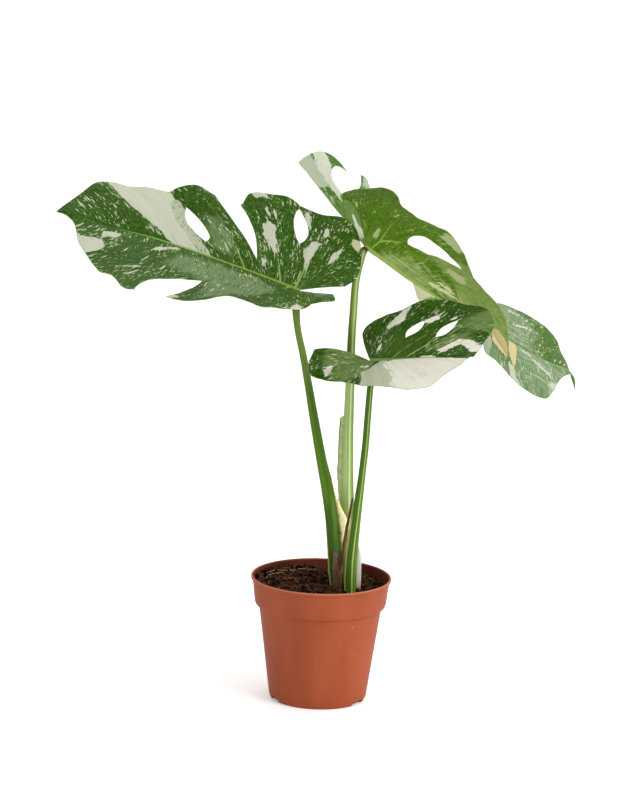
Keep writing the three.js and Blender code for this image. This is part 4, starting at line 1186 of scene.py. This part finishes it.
def blade(name, looks):
    """Builds one blade as a closed thin solid, with the flat map and the distances that its looks read."""
    leaf = LEAVES[name]
    halves = [Half(leaf, leaf["far"]), Half(leaf, leaf["near"])]
    corners, faces, vertex_count = blade_grid(leaf, halves)
    vertex_of = corners["vertex"]
    k = corners["k"]
    t = corners["t"]
    u, v, spacing, foot = measured(halves, corners)
    points = np.zeros((vertex_count, 3))
    points[vertex_of] = corners["point"] @ leaf_axes(leaf) + np.array(leaf["joint"])
    normals, rim = normals_and_rim(points, faces, vertex_of)
    blade_normals[name] = normals[0]
    margin = np.array([points[vertex_of[a]] for a, _ in rim])
    from_margin = np.array([np.sqrt(((margin - point) ** 2).sum(axis=1).min()) for point in points])

    bulge = np.sin(math.pi * (k - np.floor(k))) ** QUILT_STEEPNESS[0]
    bulge = bulge * np.minimum(spacing / QUILT_SPACING, 1)
    bulge = bulge * np.sin(math.pi * np.clip(t, 0, QUILT_END)) ** QUILT_STEEPNESS[1]
    taper = 1 - RIB_TAPER * foot
    lift, groove, ridge = np.zeros((3, vertex_count))
    lift[vertex_of] = QUILT * bulge
    groove[vertex_of] = GROOVE_DEPTH * np.exp(-(v / GROOVE_HALF) ** 2) * taper
    ridge[vertex_of] = RIB_DEEP * np.exp(-(v / RIB_HALF) ** 2) * taper
    for i, point in enumerate(points):
        wave = sum(high * noise.noise(Vector(point) / size) for size, high in WAVE_SIZES)
        lift[i] += WAVE * wave * math.exp(-from_margin[i] / WAVE_REACH)
    upper = points + normals * (lift + BLADE_THICK / 2 - groove)[:, None]
    lower = points + normals * (lift - BLADE_THICK / 2 - ridge)[:, None]

    # The upper side, the underside and the rim. used holds the sheet's corner behind each corner of a face.
    rings = []
    used = []
    kinds = []
    for face in faces:
        rings.append(tuple(vertex_of[face]))
        used += face
        kinds.append(0)
    for face in faces:
        rings.append(tuple(vertex_of[face[::-1]] + vertex_count))
        used += face[::-1]
        kinds.append(1)
    for a, b in rim:
        rings.append((vertex_of[b], vertex_of[a], vertex_of[a] + vertex_count, vertex_of[b] + vertex_count))
        used += [b, a, a, b]
        kinds.append(2)
    used = np.array(used)
    obj = mesh_object("blade_" + name + "_leaf", np.vstack([upper, lower]), rings, looks)
    mesh = obj.data
    mesh.polygons.foreach_set("material_index", kinds)

    # The flat map is in metres, and each half has its own metre of it, so that no two are flecked alike.
    metre = 1.0 * corners["half"] + 2.0 * list(LEAVES).index(name)
    uv = mesh.uv_layers.new(name="veins")
    uv.data.foreach_set("uv", np.stack([u * MM + metre, v * MM], axis=1)[used].ravel())
    fading = np.maximum(foot - RIB_FADES_FROM, 0) * leaf["rib_fade"]
    values = {
        "vein_at": k, "vein_gap": spacing, "edge": from_margin[vertex_of], "from_rib": v / taper + fading,
    }
    for kind in (*MARKING_KINDS, "pale_vein"):
        values[kind] = np.full(len(k), WELL_OUTSIDE)
    for side, part in enumerate(("far", "near")):
        mine = corners["half"] == side
        flat = np.stack([u, v], axis=1)[mine]
        markings = MARKINGS[(name, part)]
        for kind in MARKING_KINDS:
            for outline in markings.get(kind, []):
                values[kind][mine] = np.maximum(values[kind][mine], distance_inside(flat, outline))
        for vein in markings.get("veins", []):
            values["pale_vein"][mine] = np.maximum(values["pale_vein"][mine], depth_in_line(flat, *vein))
    for key, value in values.items():
        attribute = mesh.attributes.new(key, "FLOAT", "CORNER")
        attribute.data.foreach_set("value", value[used].astype(np.float32))
    mesh.set_sharp_from_angle(angle=math.radians(BLADE_CREASE))
    return obj


FLECK_SIZES = {  # a cell's width and length in mm, a fleck's least and most part of it, and a shift
    "fine": (1.3, 4.6, 0.1, 0.25, (0, 0, 0)),
    "middling": (2.1, 10.5, 0.1, 0.27, (4, 7, 0)),
    "large": (5, 24, 0.1, 0.22, (2, 9, 0)),
    "green": (1.4, 5.0, 0.08, 0.22, (8, 1, 0)),
    "dark": (1.6, 6.0, 0.12, 0.3, (5, 5, 0)),
}
FLECK_EDGE = 0.035
FLECK_RAGGED = 0.34


def flecks(each, flat, kind, chance):
    """Separate, irregular flecks: at most one in each cell, and there by the given chance."""
    wide, long, least, most, shift = FLECK_SIZES[kind]
    cells = each.stretch(flat, (1 / (wide * MM), 1 / (long * MM), 1), shift)
    ragged = each.add("ShaderNodeTexNoise", {"Vector": cells, "Scale": 2.6, "Detail": 2.0}, output=1)
    ragged = each.add("ShaderNodeVectorMath", {0: ragged, 1: (0.5, 0.5, 0.5)}, operation="SUBTRACT")
    ragged = each.add("ShaderNodeVectorMath", {0: ragged, "Scale": FLECK_RAGGED}, operation="SCALE")
    cells = each.add("ShaderNodeVectorMath", {0: cells, 1: ragged}, operation="ADD")
    node = each.tree.nodes.new("ShaderNodeTexVoronoi")
    node.voronoi_dimensions = "2D"
    each.put(node.inputs["Vector"], cells)
    each.put(node.inputs["Scale"], 1.0)
    pick = each.tree.nodes.new("ShaderNodeSeparateColor")
    each.put(pick.inputs[0], node.outputs["Color"])
    size = each.add("ShaderNodeMapRange", {"Value": pick.outputs[1], "To Min": least, "To Max": most})
    chosen = each.math("LESS_THAN", pick.outputs[0], chance)
    inside = each.step(each.math("SUBTRACT", node.outputs["Distance"], size), FLECK_EDGE, -FLECK_EDGE)
    return each.times(inside, chosen)


CREAM = srgb(170, 173, 154)
PALE_FLECK = srgb(168, 175, 142)
PEACH = srgb(186, 162, 112)
TAN = srgb(170, 166, 118)


def blade_look(name, dark, middle, milky, cream, rib, under=False, fleck=None, amount=1.0, dry=TAN,
               grey_haze_and_sheen_strength=0.6):
    """Green skin with faint streaks, pale flecks and the fields of MARKINGS, some painted sheen, along the
    leaf's own veins.
    """
    each = Look(name, roughness=0.5 if under else 0.42, specular=0.07)
    flat = each.flat("veins")
    out = each.times(each.split(flat)["Y"], 1000)
    along = each.noise(flat, (190, 38, 1), 4.0, 0.6)
    broad = each.noise(flat, (45, 20, 1))
    mottle = each.noise(flat, (620, 240, 1), 2.0, 0.6)
    color = each.mix(each.step(mottle, 0.4, 0.62), dark, middle)
    color = each.mix(each.times(each.step(along, 0.5, 0.36), 0.6), color, dark)
    color = each.mix(each.times(each.step(broad, 0.5, 0.75), 0.45), color, middle)
    color = each.mix(each.times(each.step(along, 0.62, 0.7), 0.16), color, milky)

    def field(kind, soft, wander):
        """1 inside the outlines of this kind and 0 outside, with an uneven border."""
        return each.step(each.plus(each.value(kind), each.swing(along, wander)), -soft, soft)

    grain = each.noise(flat, (480, 75, 1), 3.0, 0.65)
    # partly painted sheen: these fields pale the green towards the milky colour
    haze = each.times(field("haze", 5.0, 18), each.step(grain, 0.26, 0.54))
    color = each.mix(each.times(haze, grey_haze_and_sheen_strength), color, milky)
    plain_field = field("plain", 5.0, 12)
    color = each.mix(each.times(plain_field, 0.5), color, middle)
    milky_field = field("milky", 0.8, 9)
    milky_color = each.mix(each.times(mottle, 0.5), each.mix(0.75, milky, cream), milky)
    color = each.mix(each.times(milky_field, 0.9), color, milky_color)
    stripes = each.step(each.noise(flat, (22, 420, 1), 3.0, 0.6), 0.5, 0.64)
    stripes = each.times(field("streaked", 3.0, 10), stripes)
    color = each.mix(each.times(stripes, 0.85), color, each.mix(0.5, milky, cream))

    near_cream = each.step(each.value("cream"), -14, 0)
    clump = each.noise(flat, (110, 45, 1), 1.0, shift=(3, 3, 0))
    thick = each.plus(each.swing(broad, 1.3), each.swing(clump, 1.6))
    chance = each.plus(thick, each.times(near_cream, 0.2))
    spots = each.math("MAXIMUM", flecks(each, flat, "fine", each.plus(chance, 0.2 * amount)),
                      flecks(each, flat, "middling", each.plus(chance, 0.22 * amount)))
    large = flecks(each, flat, "large", each.plus(each.times(chance, 0.5), 0.14 * amount))
    spots = each.math("MAXIMUM", spots, large)
    bare = each.math("MAXIMUM", milky_field, each.times(plain_field, 0.75))
    fade = each.times(each.step(out, 1.5, 5.0), each.math("SUBTRACT", 1.0, bare))
    color = each.mix(each.times(each.times(spots, 0.92), fade), color, fleck or cream)

    wander = each.swing(each.noise(flat, (330, 110, 1), 4.0, 0.65), 9)
    pale = each.mix(each.times(each.step(along, 0.5, 0.72), 0.2), cream, milky)
    near_edge = each.times(each.step(each.value("cream"), 7, 1), 0.3)
    pale = each.mix(each.times(flecks(each, flat, "green", near_edge), 0.7), pale, middle)
    color = each.mix(each.step(each.plus(each.value("cream"), wander), -0.3, 0.3), color, pale)
    sown = each.times(flecks(each, flat, "dark", 0.75), 0.75)
    sown = each.mix(sown, each.mix(0.3, cream, milky), dark)
    color = each.mix(each.step(each.plus(each.value("specked"), wander), -0.4, 0.4), color, sown)
    tan_field = each.step(each.plus(each.value("tan"), each.times(wander, 0.5)), -0.6, 0.6)
    color = each.mix(tan_field, color, each.mix(each.times(along, 0.5), dry, cream))

    vein = each.math("FRACT", each.value("vein_at"))
    vein = each.math("MINIMUM", vein, each.math("SUBTRACT", 1.0, vein))
    vein = each.times(vein, each.value("vein_gap"))
    line = each.times(each.step(vein, 0.6, 0.2), each.step(out, 40, 4))
    color = each.mix(each.times(line, 0.3), color, each.mix(0.4, rib, middle))
    pale_vein = each.plus(each.value("pale_vein"), each.times(wander, 0.08))
    color = each.mix(each.times(each.step(pale_vein, -0.3, 0.4), 0.85), color, rib)
    color = each.mix(each.times(each.step(each.value("from_rib"), 2.5, 1.5), 0.9), color, rib)
    color = each.mix(each.times(each.step(each.value("edge"), 0.6, 0.2), 0.4), color, rib)
    each.color(color)
    low = each.times(each.noise(flat, (420, 300, 1)), 0.6)
    each.bump(each.plus(each.times(line, 0.8 if under else -0.8), low), 0.00022, 0.6)
    return each


rim_look = Look("leaf_rim", roughness=0.5, specular=0.2)
rim_noise = rim_look.noise(rim_look.place(), 120.0)
rim_look.color(rim_look.mix(rim_noise, srgb(98, 122, 52), srgb(150, 164, 104)))
PLAIN_UNDER = {  # the undersides that the photograph doesn't show
    "dark": srgb(74, 104, 38), "middle": srgb(94, 124, 56), "milky": srgb(132, 150, 108), "cream": CREAM,
    "rib": srgb(136, 158, 88), "under": True,
}
BLADE_SIDES = {  # the upper side and the underside of each blade
    "left": (
        {"dark": srgb(34, 64, 8), "middle": srgb(58, 90, 20), "milky": srgb(108, 128, 88), "cream": CREAM,
         "rib": srgb(124, 150, 72), "fleck": PALE_FLECK, "grey_haze_and_sheen_strength": 0.72},
        PLAIN_UNDER,
    ),
    "back": (
        {"dark": srgb(50, 84, 16), "middle": srgb(76, 108, 34), "milky": srgb(116, 136, 104), "cream": CREAM,
         "rib": srgb(146, 164, 106), "dry": PEACH, "grey_haze_and_sheen_strength": 0.7},
        {"dark": srgb(58, 94, 0), "middle": srgb(88, 122, 8), "milky": srgb(130, 150, 84),
         "cream": srgb(186, 190, 142), "rib": srgb(138, 160, 78), "fleck": srgb(150, 168, 88),
         "amount": 0.8, "dry": PEACH, "grey_haze_and_sheen_strength": 0.8, "under": True},
    ),
    "front": (
        {"dark": srgb(32, 62, 6), "middle": srgb(56, 88, 16), "milky": srgb(116, 136, 80),
         "cream": srgb(206, 204, 188), "rib": srgb(122, 146, 84), "fleck": PALE_FLECK, "amount": 0.8},
        PLAIN_UNDER,
    ),
}
for leaf_name, (top_side, under_side) in BLADE_SIDES.items():
    top_look = blade_look("leaf_" + leaf_name + "_top", **top_side)
    under_look = blade_look("leaf_" + leaf_name + "_under", **under_side)
    leaf_blade = blade(leaf_name, [top_look, under_look, rim_look])
    finished(leaf_blade, "blade_" + leaf_name, slot="blade")


# LEAF STALKS
# Fleshy round stalks that stand in the soil, each with thin sheath wings low down and a swollen knee under
# its blade. Each is swept along its own centre line, and ends just under its blade's joint. They are softly
# glossy green, striped lengthwise, and the wings are paler. A pale stripe down the back and front stalks is
# a painted highlight, a dark band across the back stalk is a painted shadow of the front leaf, and darker
# streaks across the back stalk's wing are painted shade between its folds.
STALKS = {  # each row: place, width, depth, left wing, right wing, in mm
    "left": {
        "rows": [
            ((13.4, -4, 80), 7.5, 6.5, 0, 0), ((13.1, -4, 96.7), 8, 7, 0.5, 0.5),
            ((11.6, -4, 110), 8.5, 7.2, 1, 1.5), ((9.8, -5, 132.4), 9.5, 7.4, 0.6, 3.4),
            ((6.8, -6, 159), 9.6, 7.2, 0, 3.2), ((2.5, -8, 186), 9.6, 7, 0, 1.4),
            ((-3, -9.5, 212), 8.8, 6.8, 0, 0), ((-11.1, -12, 252), 7.6, 6.4, 0, 0),
            ((-16.1, -14, 278), 6.7, 6.2, 0, 0), ((-21.6, -16, 305), 6, 6, 0, 0),
            ((-27, -18, 329), 5.6, 5.8, 0, 0),
        ],
        "neck": 12, "neck_width": 6.8,
    },
    "back": {
        "rows": [
            ((24.4, 8, 80), 8, 7, 0, 0), ((23.9, 8, 107), 10, 7.5, 0, 0), ((22.2, 10, 133), 11.5, 8, 0, 0),
            ((20.1, 14, 172), 11.8, 8, 1.4, 0), ((19.4, 18, 193), 10.8, 8, 3.2, 0),
            ((19.1, 26, 233), 8.8, 7.6, 3.6, 0), ((19.2, 27.8, 241), 8.6, 7.6, 3.3, 0),
            ((19.2, 28.4, 243.4), 8.5, 7.6, 0.2, 0), ((19.2, 32, 256), 8.2, 7.4, 0, 0),
            ((19.3, 38, 281), 7.8, 7, 0, 0), ((19.3, 44, 306), 7, 6.8, 0, 0),
            ((20.2, 52, 331), 6.6, 6.6, 0, 0), ((21.5, 59, 356), 6.4, 6.4, 0, 0),
        ],
        "neck": 13, "neck_width": 6.6,
    },
    "front": {
        "rows": [
            ((25.2, -14, 80), 9, 8, 0, 0), ((25.2, -14, 95.4), 10, 8.6, 0, 0),
            ((24.8, -14, 108.7), 10.6, 8.6, 0, 0), ((25.2, -14.2, 126.4), 10.4, 8.2, 0, 0),
            ((27.1, -16, 153.5), 9.2, 7.6, 0, 0), ((29.3, -18, 176), 7.6, 7, 0, 0),
            ((31.8, -20, 203), 6.2, 6.2, 0, 0), ((33.9, -22, 230), 6, 6, 0, 0),
            ((35, -25, 256.5), 5.8, 5.8, 0, 0), ((36.2, -27.5, 281), 5.6, 5.6, 0, 0),
        ],
        "neck": 10, "neck_width": 6,
    },
}
STALK_SIDES = 48
STALK_STEPS = 8
STALK_BELOW_JOINT = 1.5
STALK_CREASE = 60
KNEE_RINGS = ((0.4, 0.5, 1.05), (0, 0, 0.9))   # mm and necks below the end, and the part of the neck's width
WING_SPREAD = 0.16            # how far round the stalk a wing's root spreads, in radians
WING_TINT_SPREAD = 0.3
WING_RIPPLE = (5, 0.45)       # its length in mm, and the part of the wing that it adds
WING_FOLD = (4, 1.5)          # its length in mm, and how far it bends the wing, in the wing's own widths


def toward(angle, aim, spread):
    """1 where an angle points at the aim, and less to both sides of it."""
    return math.exp(-(abs(math.remainder(angle - aim, 2 * math.pi)) / spread) ** 2)


def stalk(name, its_look):
    """Sweeps one stalk, with its skin's flat map, how much wing each point is, and how far below the top."""
    spec = STALKS[name]
    joint = np.array(LEAVES[name]["joint"], float)
    normal = blade_normals[name]
    rows = [[*place, wide, deep, left, right] for place, wide, deep, left, right in spec["rows"]]
    for more, necks, part in KNEE_RINGS:
        width = spec["neck_width"] * part
        distance = STALK_BELOW_JOINT + more + spec["neck"] * necks
        rows.append([*(joint - normal * distance), width, width, 0, 0])
    rows = np.array(rows, float)
    at = np.linspace(0, len(rows) - 1, (len(rows) - 1) * STALK_STEPS + 1)
    centres = smooth_through(rows[:, :3], at)
    widths = smooth_through(np.column_stack([rows[:, 3:5], 0 * rows[:, 0]]), at)
    wings = np.maximum(smooth_through(np.column_stack([rows[:, 5:7], 0 * rows[:, 0]]), at), 0)
    tangents = np.gradient(centres, axis=0)
    tangents[-1] = normal
    tangents /= np.linalg.norm(tangents, axis=1)[:, None]
    run = np.append(0, np.cumsum(np.linalg.norm(np.diff(centres, axis=0), axis=1)))
    points = []
    wing_parts = []
    for ring, tangent in enumerate(tangents):
        across = np.array((1.0, 0, 0)) - tangent * tangent[0]
        across /= np.linalg.norm(across)
        back = np.cross(tangent, across)
        left, right, _ = wings[ring]
        ripple = noise.noise(Vector((run[ring] / WING_RIPPLE[0], 0, STALK_SIDES)))
        fold = noise.noise(Vector((run[ring] / WING_FOLD[0], 5, 0)))
        for i in range(STALK_SIDES):
            angle = 2 * math.pi * i / STALK_SIDES
            wing = right * toward(angle, 0, WING_SPREAD) + left * toward(angle, math.pi, WING_SPREAD)
            x = math.cos(angle) * (widths[ring, 0] / 2 + wing * (1 + WING_RIPPLE[1] * ripple))
            y = math.sin(angle) * widths[ring, 1] / 2 + wing * WING_FOLD[1] * fold
            points.append(centres[ring] + across * x + back * y)
            wing_parts.append(max(toward(angle, 0, WING_TINT_SPREAD) * min(right, 1),
                                  toward(angle, math.pi, WING_TINT_SPREAD) * min(left, 1)))
    corners = []
    for ring in range(len(at) - 1):
        for i in range(STALK_SIDES):
            corners += [(i, ring), (i + 1, ring), (i + 1, ring + 1), (i, ring + 1)]
    corners += [(i, 0) for i in reversed(range(STALK_SIDES))]
    corners += [(i, len(at) - 1) for i in range(STALK_SIDES)]
    obj = mesh_object("stalk_" + name + "_skin", points, tube_faces(len(at), STALK_SIDES), [its_look])
    uv = obj.data.uv_layers.new(name="skin")
    uv.data.foreach_set("uv", np.array([(i / STALK_SIDES, run[ring] * MM) for i, ring in corners]).ravel())
    for key, numbers in (("wing", wing_parts), ("from_top", np.repeat(run[-1] - run, STALK_SIDES))):
        attribute = obj.data.attributes.new(key, "FLOAT", "POINT")
        attribute.data.foreach_set("value", numbers)
    obj.data.set_sharp_from_angle(angle=math.radians(STALK_CREASE))
    finished(obj, "stalk_" + name, slot="stalk")


STRIPE_END = 0.012            # m over which a stripe ends
LOW = -1.0                    # a stripe's foot that is below the stalk's own
HIGH = 1.0                    # and a top that is above it


def stalk_look(name, base, shade, stripes, knee, knee_reach, wing, rim, wing_from):
    """Fleshy skin: lengthwise stripes, among them painted highlights and a painted shadow, wings with a rim
    of another colour and streaks, and a knee of so many mm.
    """
    each = Look(name, roughness=0.4, specular=0.14)
    skin = each.flat("skin")
    around, height, _ = each.split(skin)
    across = each.math("COSINE", each.times(around, 2 * math.pi))
    fine = each.noise(skin, (70, 22, 1), 3.0, 0.6)
    slow = each.noise(skin, (3, 30, 1))
    drifted = each.plus(across, each.swing(slow, 0.25))
    color = each.mix(each.step(fine, 0.35, 0.65), shade, base)
    for at, half, tint, strength, foot, top in stripes:
        off = each.math("ABSOLUTE", each.math("SUBTRACT", drifted, at))
        mask = each.times(each.step(off, half * 1.5, half * 0.5), strength)
        mask = each.times(mask, each.step(height, top + STRIPE_END, top - STRIPE_END))
        mask = each.times(mask, each.step(height, foot - STRIPE_END, foot + STRIPE_END))
        color = each.mix(mask, color, tint)
    wing_part = each.value("wing")
    # streaks across the wings towards the rim colour: painted shade between folds on the back stalk, a paler
    # tint on the left one
    wrinkle_shade_and_tint = each.noise(skin, (9, 210, 1), 3.0, 0.6)
    wing_color = each.mix(each.step(wrinkle_shade_and_tint, 0.44, 0.6), each.mix(0.4, wing, rim), wing)
    color = each.mix(each.times(each.step(wing_part, *wing_from), 0.9), color, wing_color)
    color = each.mix(each.times(each.step(wing_part, 0.8, 0.97), 0.8), color, rim)
    below = each.plus(each.value("from_top"), each.swing(fine, 12))
    color = each.mix(each.step(below, knee_reach + 0.8, knee_reach - 0.8), color, knee)
    each.color(color)
    each.bump(fine, 0.0002, 0.5)
    return each


STALK_SKINS = {  # a stripe: place across from -1 to 1, half width, colour, strength, foot and top in m
    "left": {
        "base": srgb(68, 100, 10), "shade": srgb(54, 86, 4), "knee": srgb(186, 178, 140), "knee_reach": 8,
        "wing": srgb(186, 166, 92), "rim": srgb(204, 186, 120), "wing_from": (0.86, 0.97),
        "stripes": [
            (-0.5, 0.4, srgb(82, 118, 18), 0.6, LOW, HIGH),
            (0.3, 0.12, srgb(50, 78, 6), 0.3, LOW, HIGH),
            (0.0, 1.2, srgb(100, 122, 50), 0.7, 0.205, HIGH),
            (-0.4, 0.6, srgb(46, 74, 6), 0.75, LOW, 0.095),
            (0.7, 0.35, srgb(84, 118, 42), 0.75, LOW, 0.1),
            (-0.97, 0.07, srgb(176, 172, 96), 0.8, LOW, 0.06),
        ],
    },
    "back": {
        "base": srgb(142, 168, 96), "shade": srgb(114, 142, 64), "knee": srgb(66, 48, 28), "knee_reach": 3.5,
        "wing": srgb(182, 196, 140), "rim": srgb(112, 126, 76), "wing_from": (0.2, 0.45),
        "stripes": [
            (-0.85, 0.12, srgb(92, 112, 52), 0.7, LOW, 0.09),
            (-0.55, 0.5, srgb(166, 188, 122), 0.85, 0.1, 0.2),
            (0.0, 1.2, srgb(116, 136, 64), 0.7, 0.21, HIGH),
            (-0.8, 0.4, srgb(78, 94, 30), 0.7, 0.21, HIGH),
            # painted shadow of the front leaf: a dark band across the back stalk
            (0.0, 1.2, srgb(66, 84, 14), 0.8, 0.2, 0.24),
            # painted highlight down the stalk, in this row and the next
            (0.3, 0.13, srgb(198, 212, 158), 0.9, LOW, 0.21),
            (0.3, 0.2, srgb(164, 184, 110), 0.7, 0.21, HIGH),
            (0.9, 0.2, srgb(96, 118, 46), 0.7, LOW, HIGH),
        ],
    },
    "front": {
        "base": srgb(70, 104, 24), "shade": srgb(50, 82, 14), "knee": srgb(104, 128, 52), "knee_reach": 4,
        "wing": srgb(190, 186, 110), "rim": srgb(190, 186, 110), "wing_from": (0.3, 0.6),
        "stripes": [
            (-0.92, 0.16, srgb(196, 188, 110), 0.9, LOW, 0.085),
            # painted highlight down the front stalk
            (0.28, 0.11, srgb(166, 184, 96), 0.85, LOW, HIGH),
            (0.75, 0.2, srgb(86, 120, 36), 0.8, LOW, HIGH),
        ],
    },
}
for stalk_name, skin_look in STALK_SKINS.items():
    stalk(stalk_name, stalk_look("stalk_" + stalk_name + "_skin", **skin_look))


# SHEATHS
# Thin leftovers of older leaf sheaths round the foot of the stalks: one fresh and cream, one whitish, and
# two that have dried to brown, fibrous skin. Each is a thin bent strip that stands in the soil.
SHEATHS = {  # each row: left edge, right edge, how far it bulges to the viewer
    "sheath_cream": [
        ((12.5, 1.5, 90), (17.5, 1.5, 90), 0.5), ((11.8, 1.5, 112), (18, 1.5, 112), 0.6),
        ((11, 1.5, 132), (18.6, 2, 132), 0.8), ((10.4, 2, 148), (20.4, 3, 146), 0.8),
        ((10.2, 3, 160), (21.2, 4.5, 156), 0.6), ((10.3, 4, 170), (16, 5, 166), 0.4),
        ((10.5, 4.5, 176), (12.5, 5, 174.5), 0.2),
    ],
    "sheath_white": [
        ((27.6, -6.4, 90), (33.2, -7, 90), 0), ((27.6, -6.2, 104), (34.2, -7, 103), 0.2),
        ((27.4, -6, 120), (34, -7, 120), 0.4), ((28.2, -6, 132), (33, -7, 132), 0.4),
        ((29.4, -6.6, 139), (31, -7, 138.5), 0.1),
    ],
    "scale_brown": [
        ((10.6, -9.6, 90), (18, -11.4, 90), 0.6), ((10, -9.8, 104), (18, -11.6, 104), 0.8),
        ((9.6, -10.4, 118), (17.6, -12, 118), 0.8), ((9.4, -10.8, 127), (15, -11.8, 128), 0.5),
        ((9.8, -11.2, 133), (11.4, -11.4, 133), 0.1),
    ],
    "sheath_brown": [
        ((15.4, -16.4, 90), (18.2, -17.3, 90), 0), ((15.0, -15.4, 112), (17.8, -16.3, 112), 0.2),
        ((16.2, -14.8, 130), (18.6, -15.8, 130), 0.2), ((19, -14.9, 152), (21.2, -16.2, 152), 0.2),
        ((22, -15.3, 170), (23.8, -16.7, 170), 0.1), ((24, -16, 182), (25, -16.8, 182), 0),
    ],
}
SHEATH_THICK = 0.5
SHEATH_COLUMNS = 18
SHEATH_STEPS = 8
SHEATH_CREASE = 60
SHEATH_BUCKLE = (0.25, 0.9, 0.12)   # depth in mm, and its folds to a mm across and up
SHEATH_FOOT = (0.108, 0.096)        # heights in m between which a sheath takes the colour of its foot


def sheath(name, its_look, slot):
    """Bends one strip between its two edges, gives it a thickness and closes its border."""
    rows = SHEATHS[name]
    at = np.linspace(0, len(rows) - 1, (len(rows) - 1) * SHEATH_STEPS + 1)
    left = smooth_through([row[0] for row in rows], at)
    right = smooth_through([row[1] for row in rows], at)
    bulge = np.interp(at, range(len(rows)), [row[2] for row in rows])
    across = np.linspace(0, 1, SHEATH_COLUMNS + 1)
    grid = left[:, None] + (right - left)[:, None] * across[None, :, None]
    grid[:, :, 1] -= bulge[:, None] * 4 * across * (1 - across)
    deep, folds_across, folds_up = SHEATH_BUCKLE
    for line in grid:
        for point in line:
            point[1] += deep * noise.noise(Vector((point[0] * folds_across, 0, point[2] * folds_up)))
    wide = SHEATH_COLUMNS + 1
    points = grid.reshape(-1, 3)
    normals = np.cross(np.gradient(grid, axis=1), np.gradient(grid, axis=0)).reshape(-1, 3)
    normals /= np.maximum(np.linalg.norm(normals, axis=1), 1e-9)[:, None]
    count = len(points)
    faces = []
    for row in range(len(at) - 1):
        for i in range(SHEATH_COLUMNS):
            a = row * wide + i
            faces.append((a, a + 1, a + wide + 1, a + wide))
            faces.append((a + count, a + wide + count, a + wide + 1 + count, a + 1 + count))
    top = len(at) - 1
    border = list(range(wide))
    border += [row * wide + wide - 1 for row in range(1, top + 1)]
    border += [top * wide + i for i in reversed(range(wide - 1))]
    border += [row * wide for row in range(top - 1, 0, -1)]
    for a, b in zip(border, border[1:] + border[:1]):
        faces.append((b, a, a + count, b + count))
    both = np.vstack([points + normals * SHEATH_THICK / 2, points - normals * SHEATH_THICK / 2])
    obj = mesh_object(name + "_skin", both, faces, [its_look])
    obj.data.set_sharp_from_angle(angle=math.radians(SHEATH_CREASE))
    finished(obj, name, slot=slot)


def sheath_look(name, light, dark, base, roughness):
    """Fibrous skin with blots, that takes its base colour near the soil."""
    each = Look(name, roughness=roughness, specular=0.3)
    place = each.place()
    fibres = each.noise(place, (1400, 1400, 60), 3.0, 0.6)
    blots = each.noise(place, (120, 120, 50), 3.0)
    color = each.mix(each.step(fibres, 0.35, 0.65), dark, light)
    color = each.mix(each.times(each.step(blots, 0.52, 0.7), 0.35), color, base)
    color = each.mix(each.step(each.split(place)["Z"], *SHEATH_FOOT), color, base)
    each.color(color)
    each.bump(fibres, 0.0003, 0.7)
    return each


SHEATH_SKINS = {  # light, dark and base colour, roughness, and the record's slot
    "sheath_cream": (srgb(250, 242, 206), srgb(244, 226, 170), srgb(206, 168, 108), 0.5, "pale_sheath"),
    "sheath_white": (srgb(230, 230, 214), srgb(204, 206, 180), srgb(160, 132, 86), 0.5, "pale_sheath"),
    "scale_brown": (srgb(126, 98, 74), srgb(72, 48, 34), srgb(60, 40, 28), 0.8, "dry_sheath"),
    "sheath_brown": (srgb(110, 68, 36), srgb(50, 30, 16), srgb(50, 30, 18), 0.8, "dry_sheath"),
}
for sheath_name, (light, dark, base, roughness, slot) in SHEATH_SKINS.items():
    sheath(sheath_name, sheath_look(sheath_name + "_skin", light, dark, base, roughness), slot)
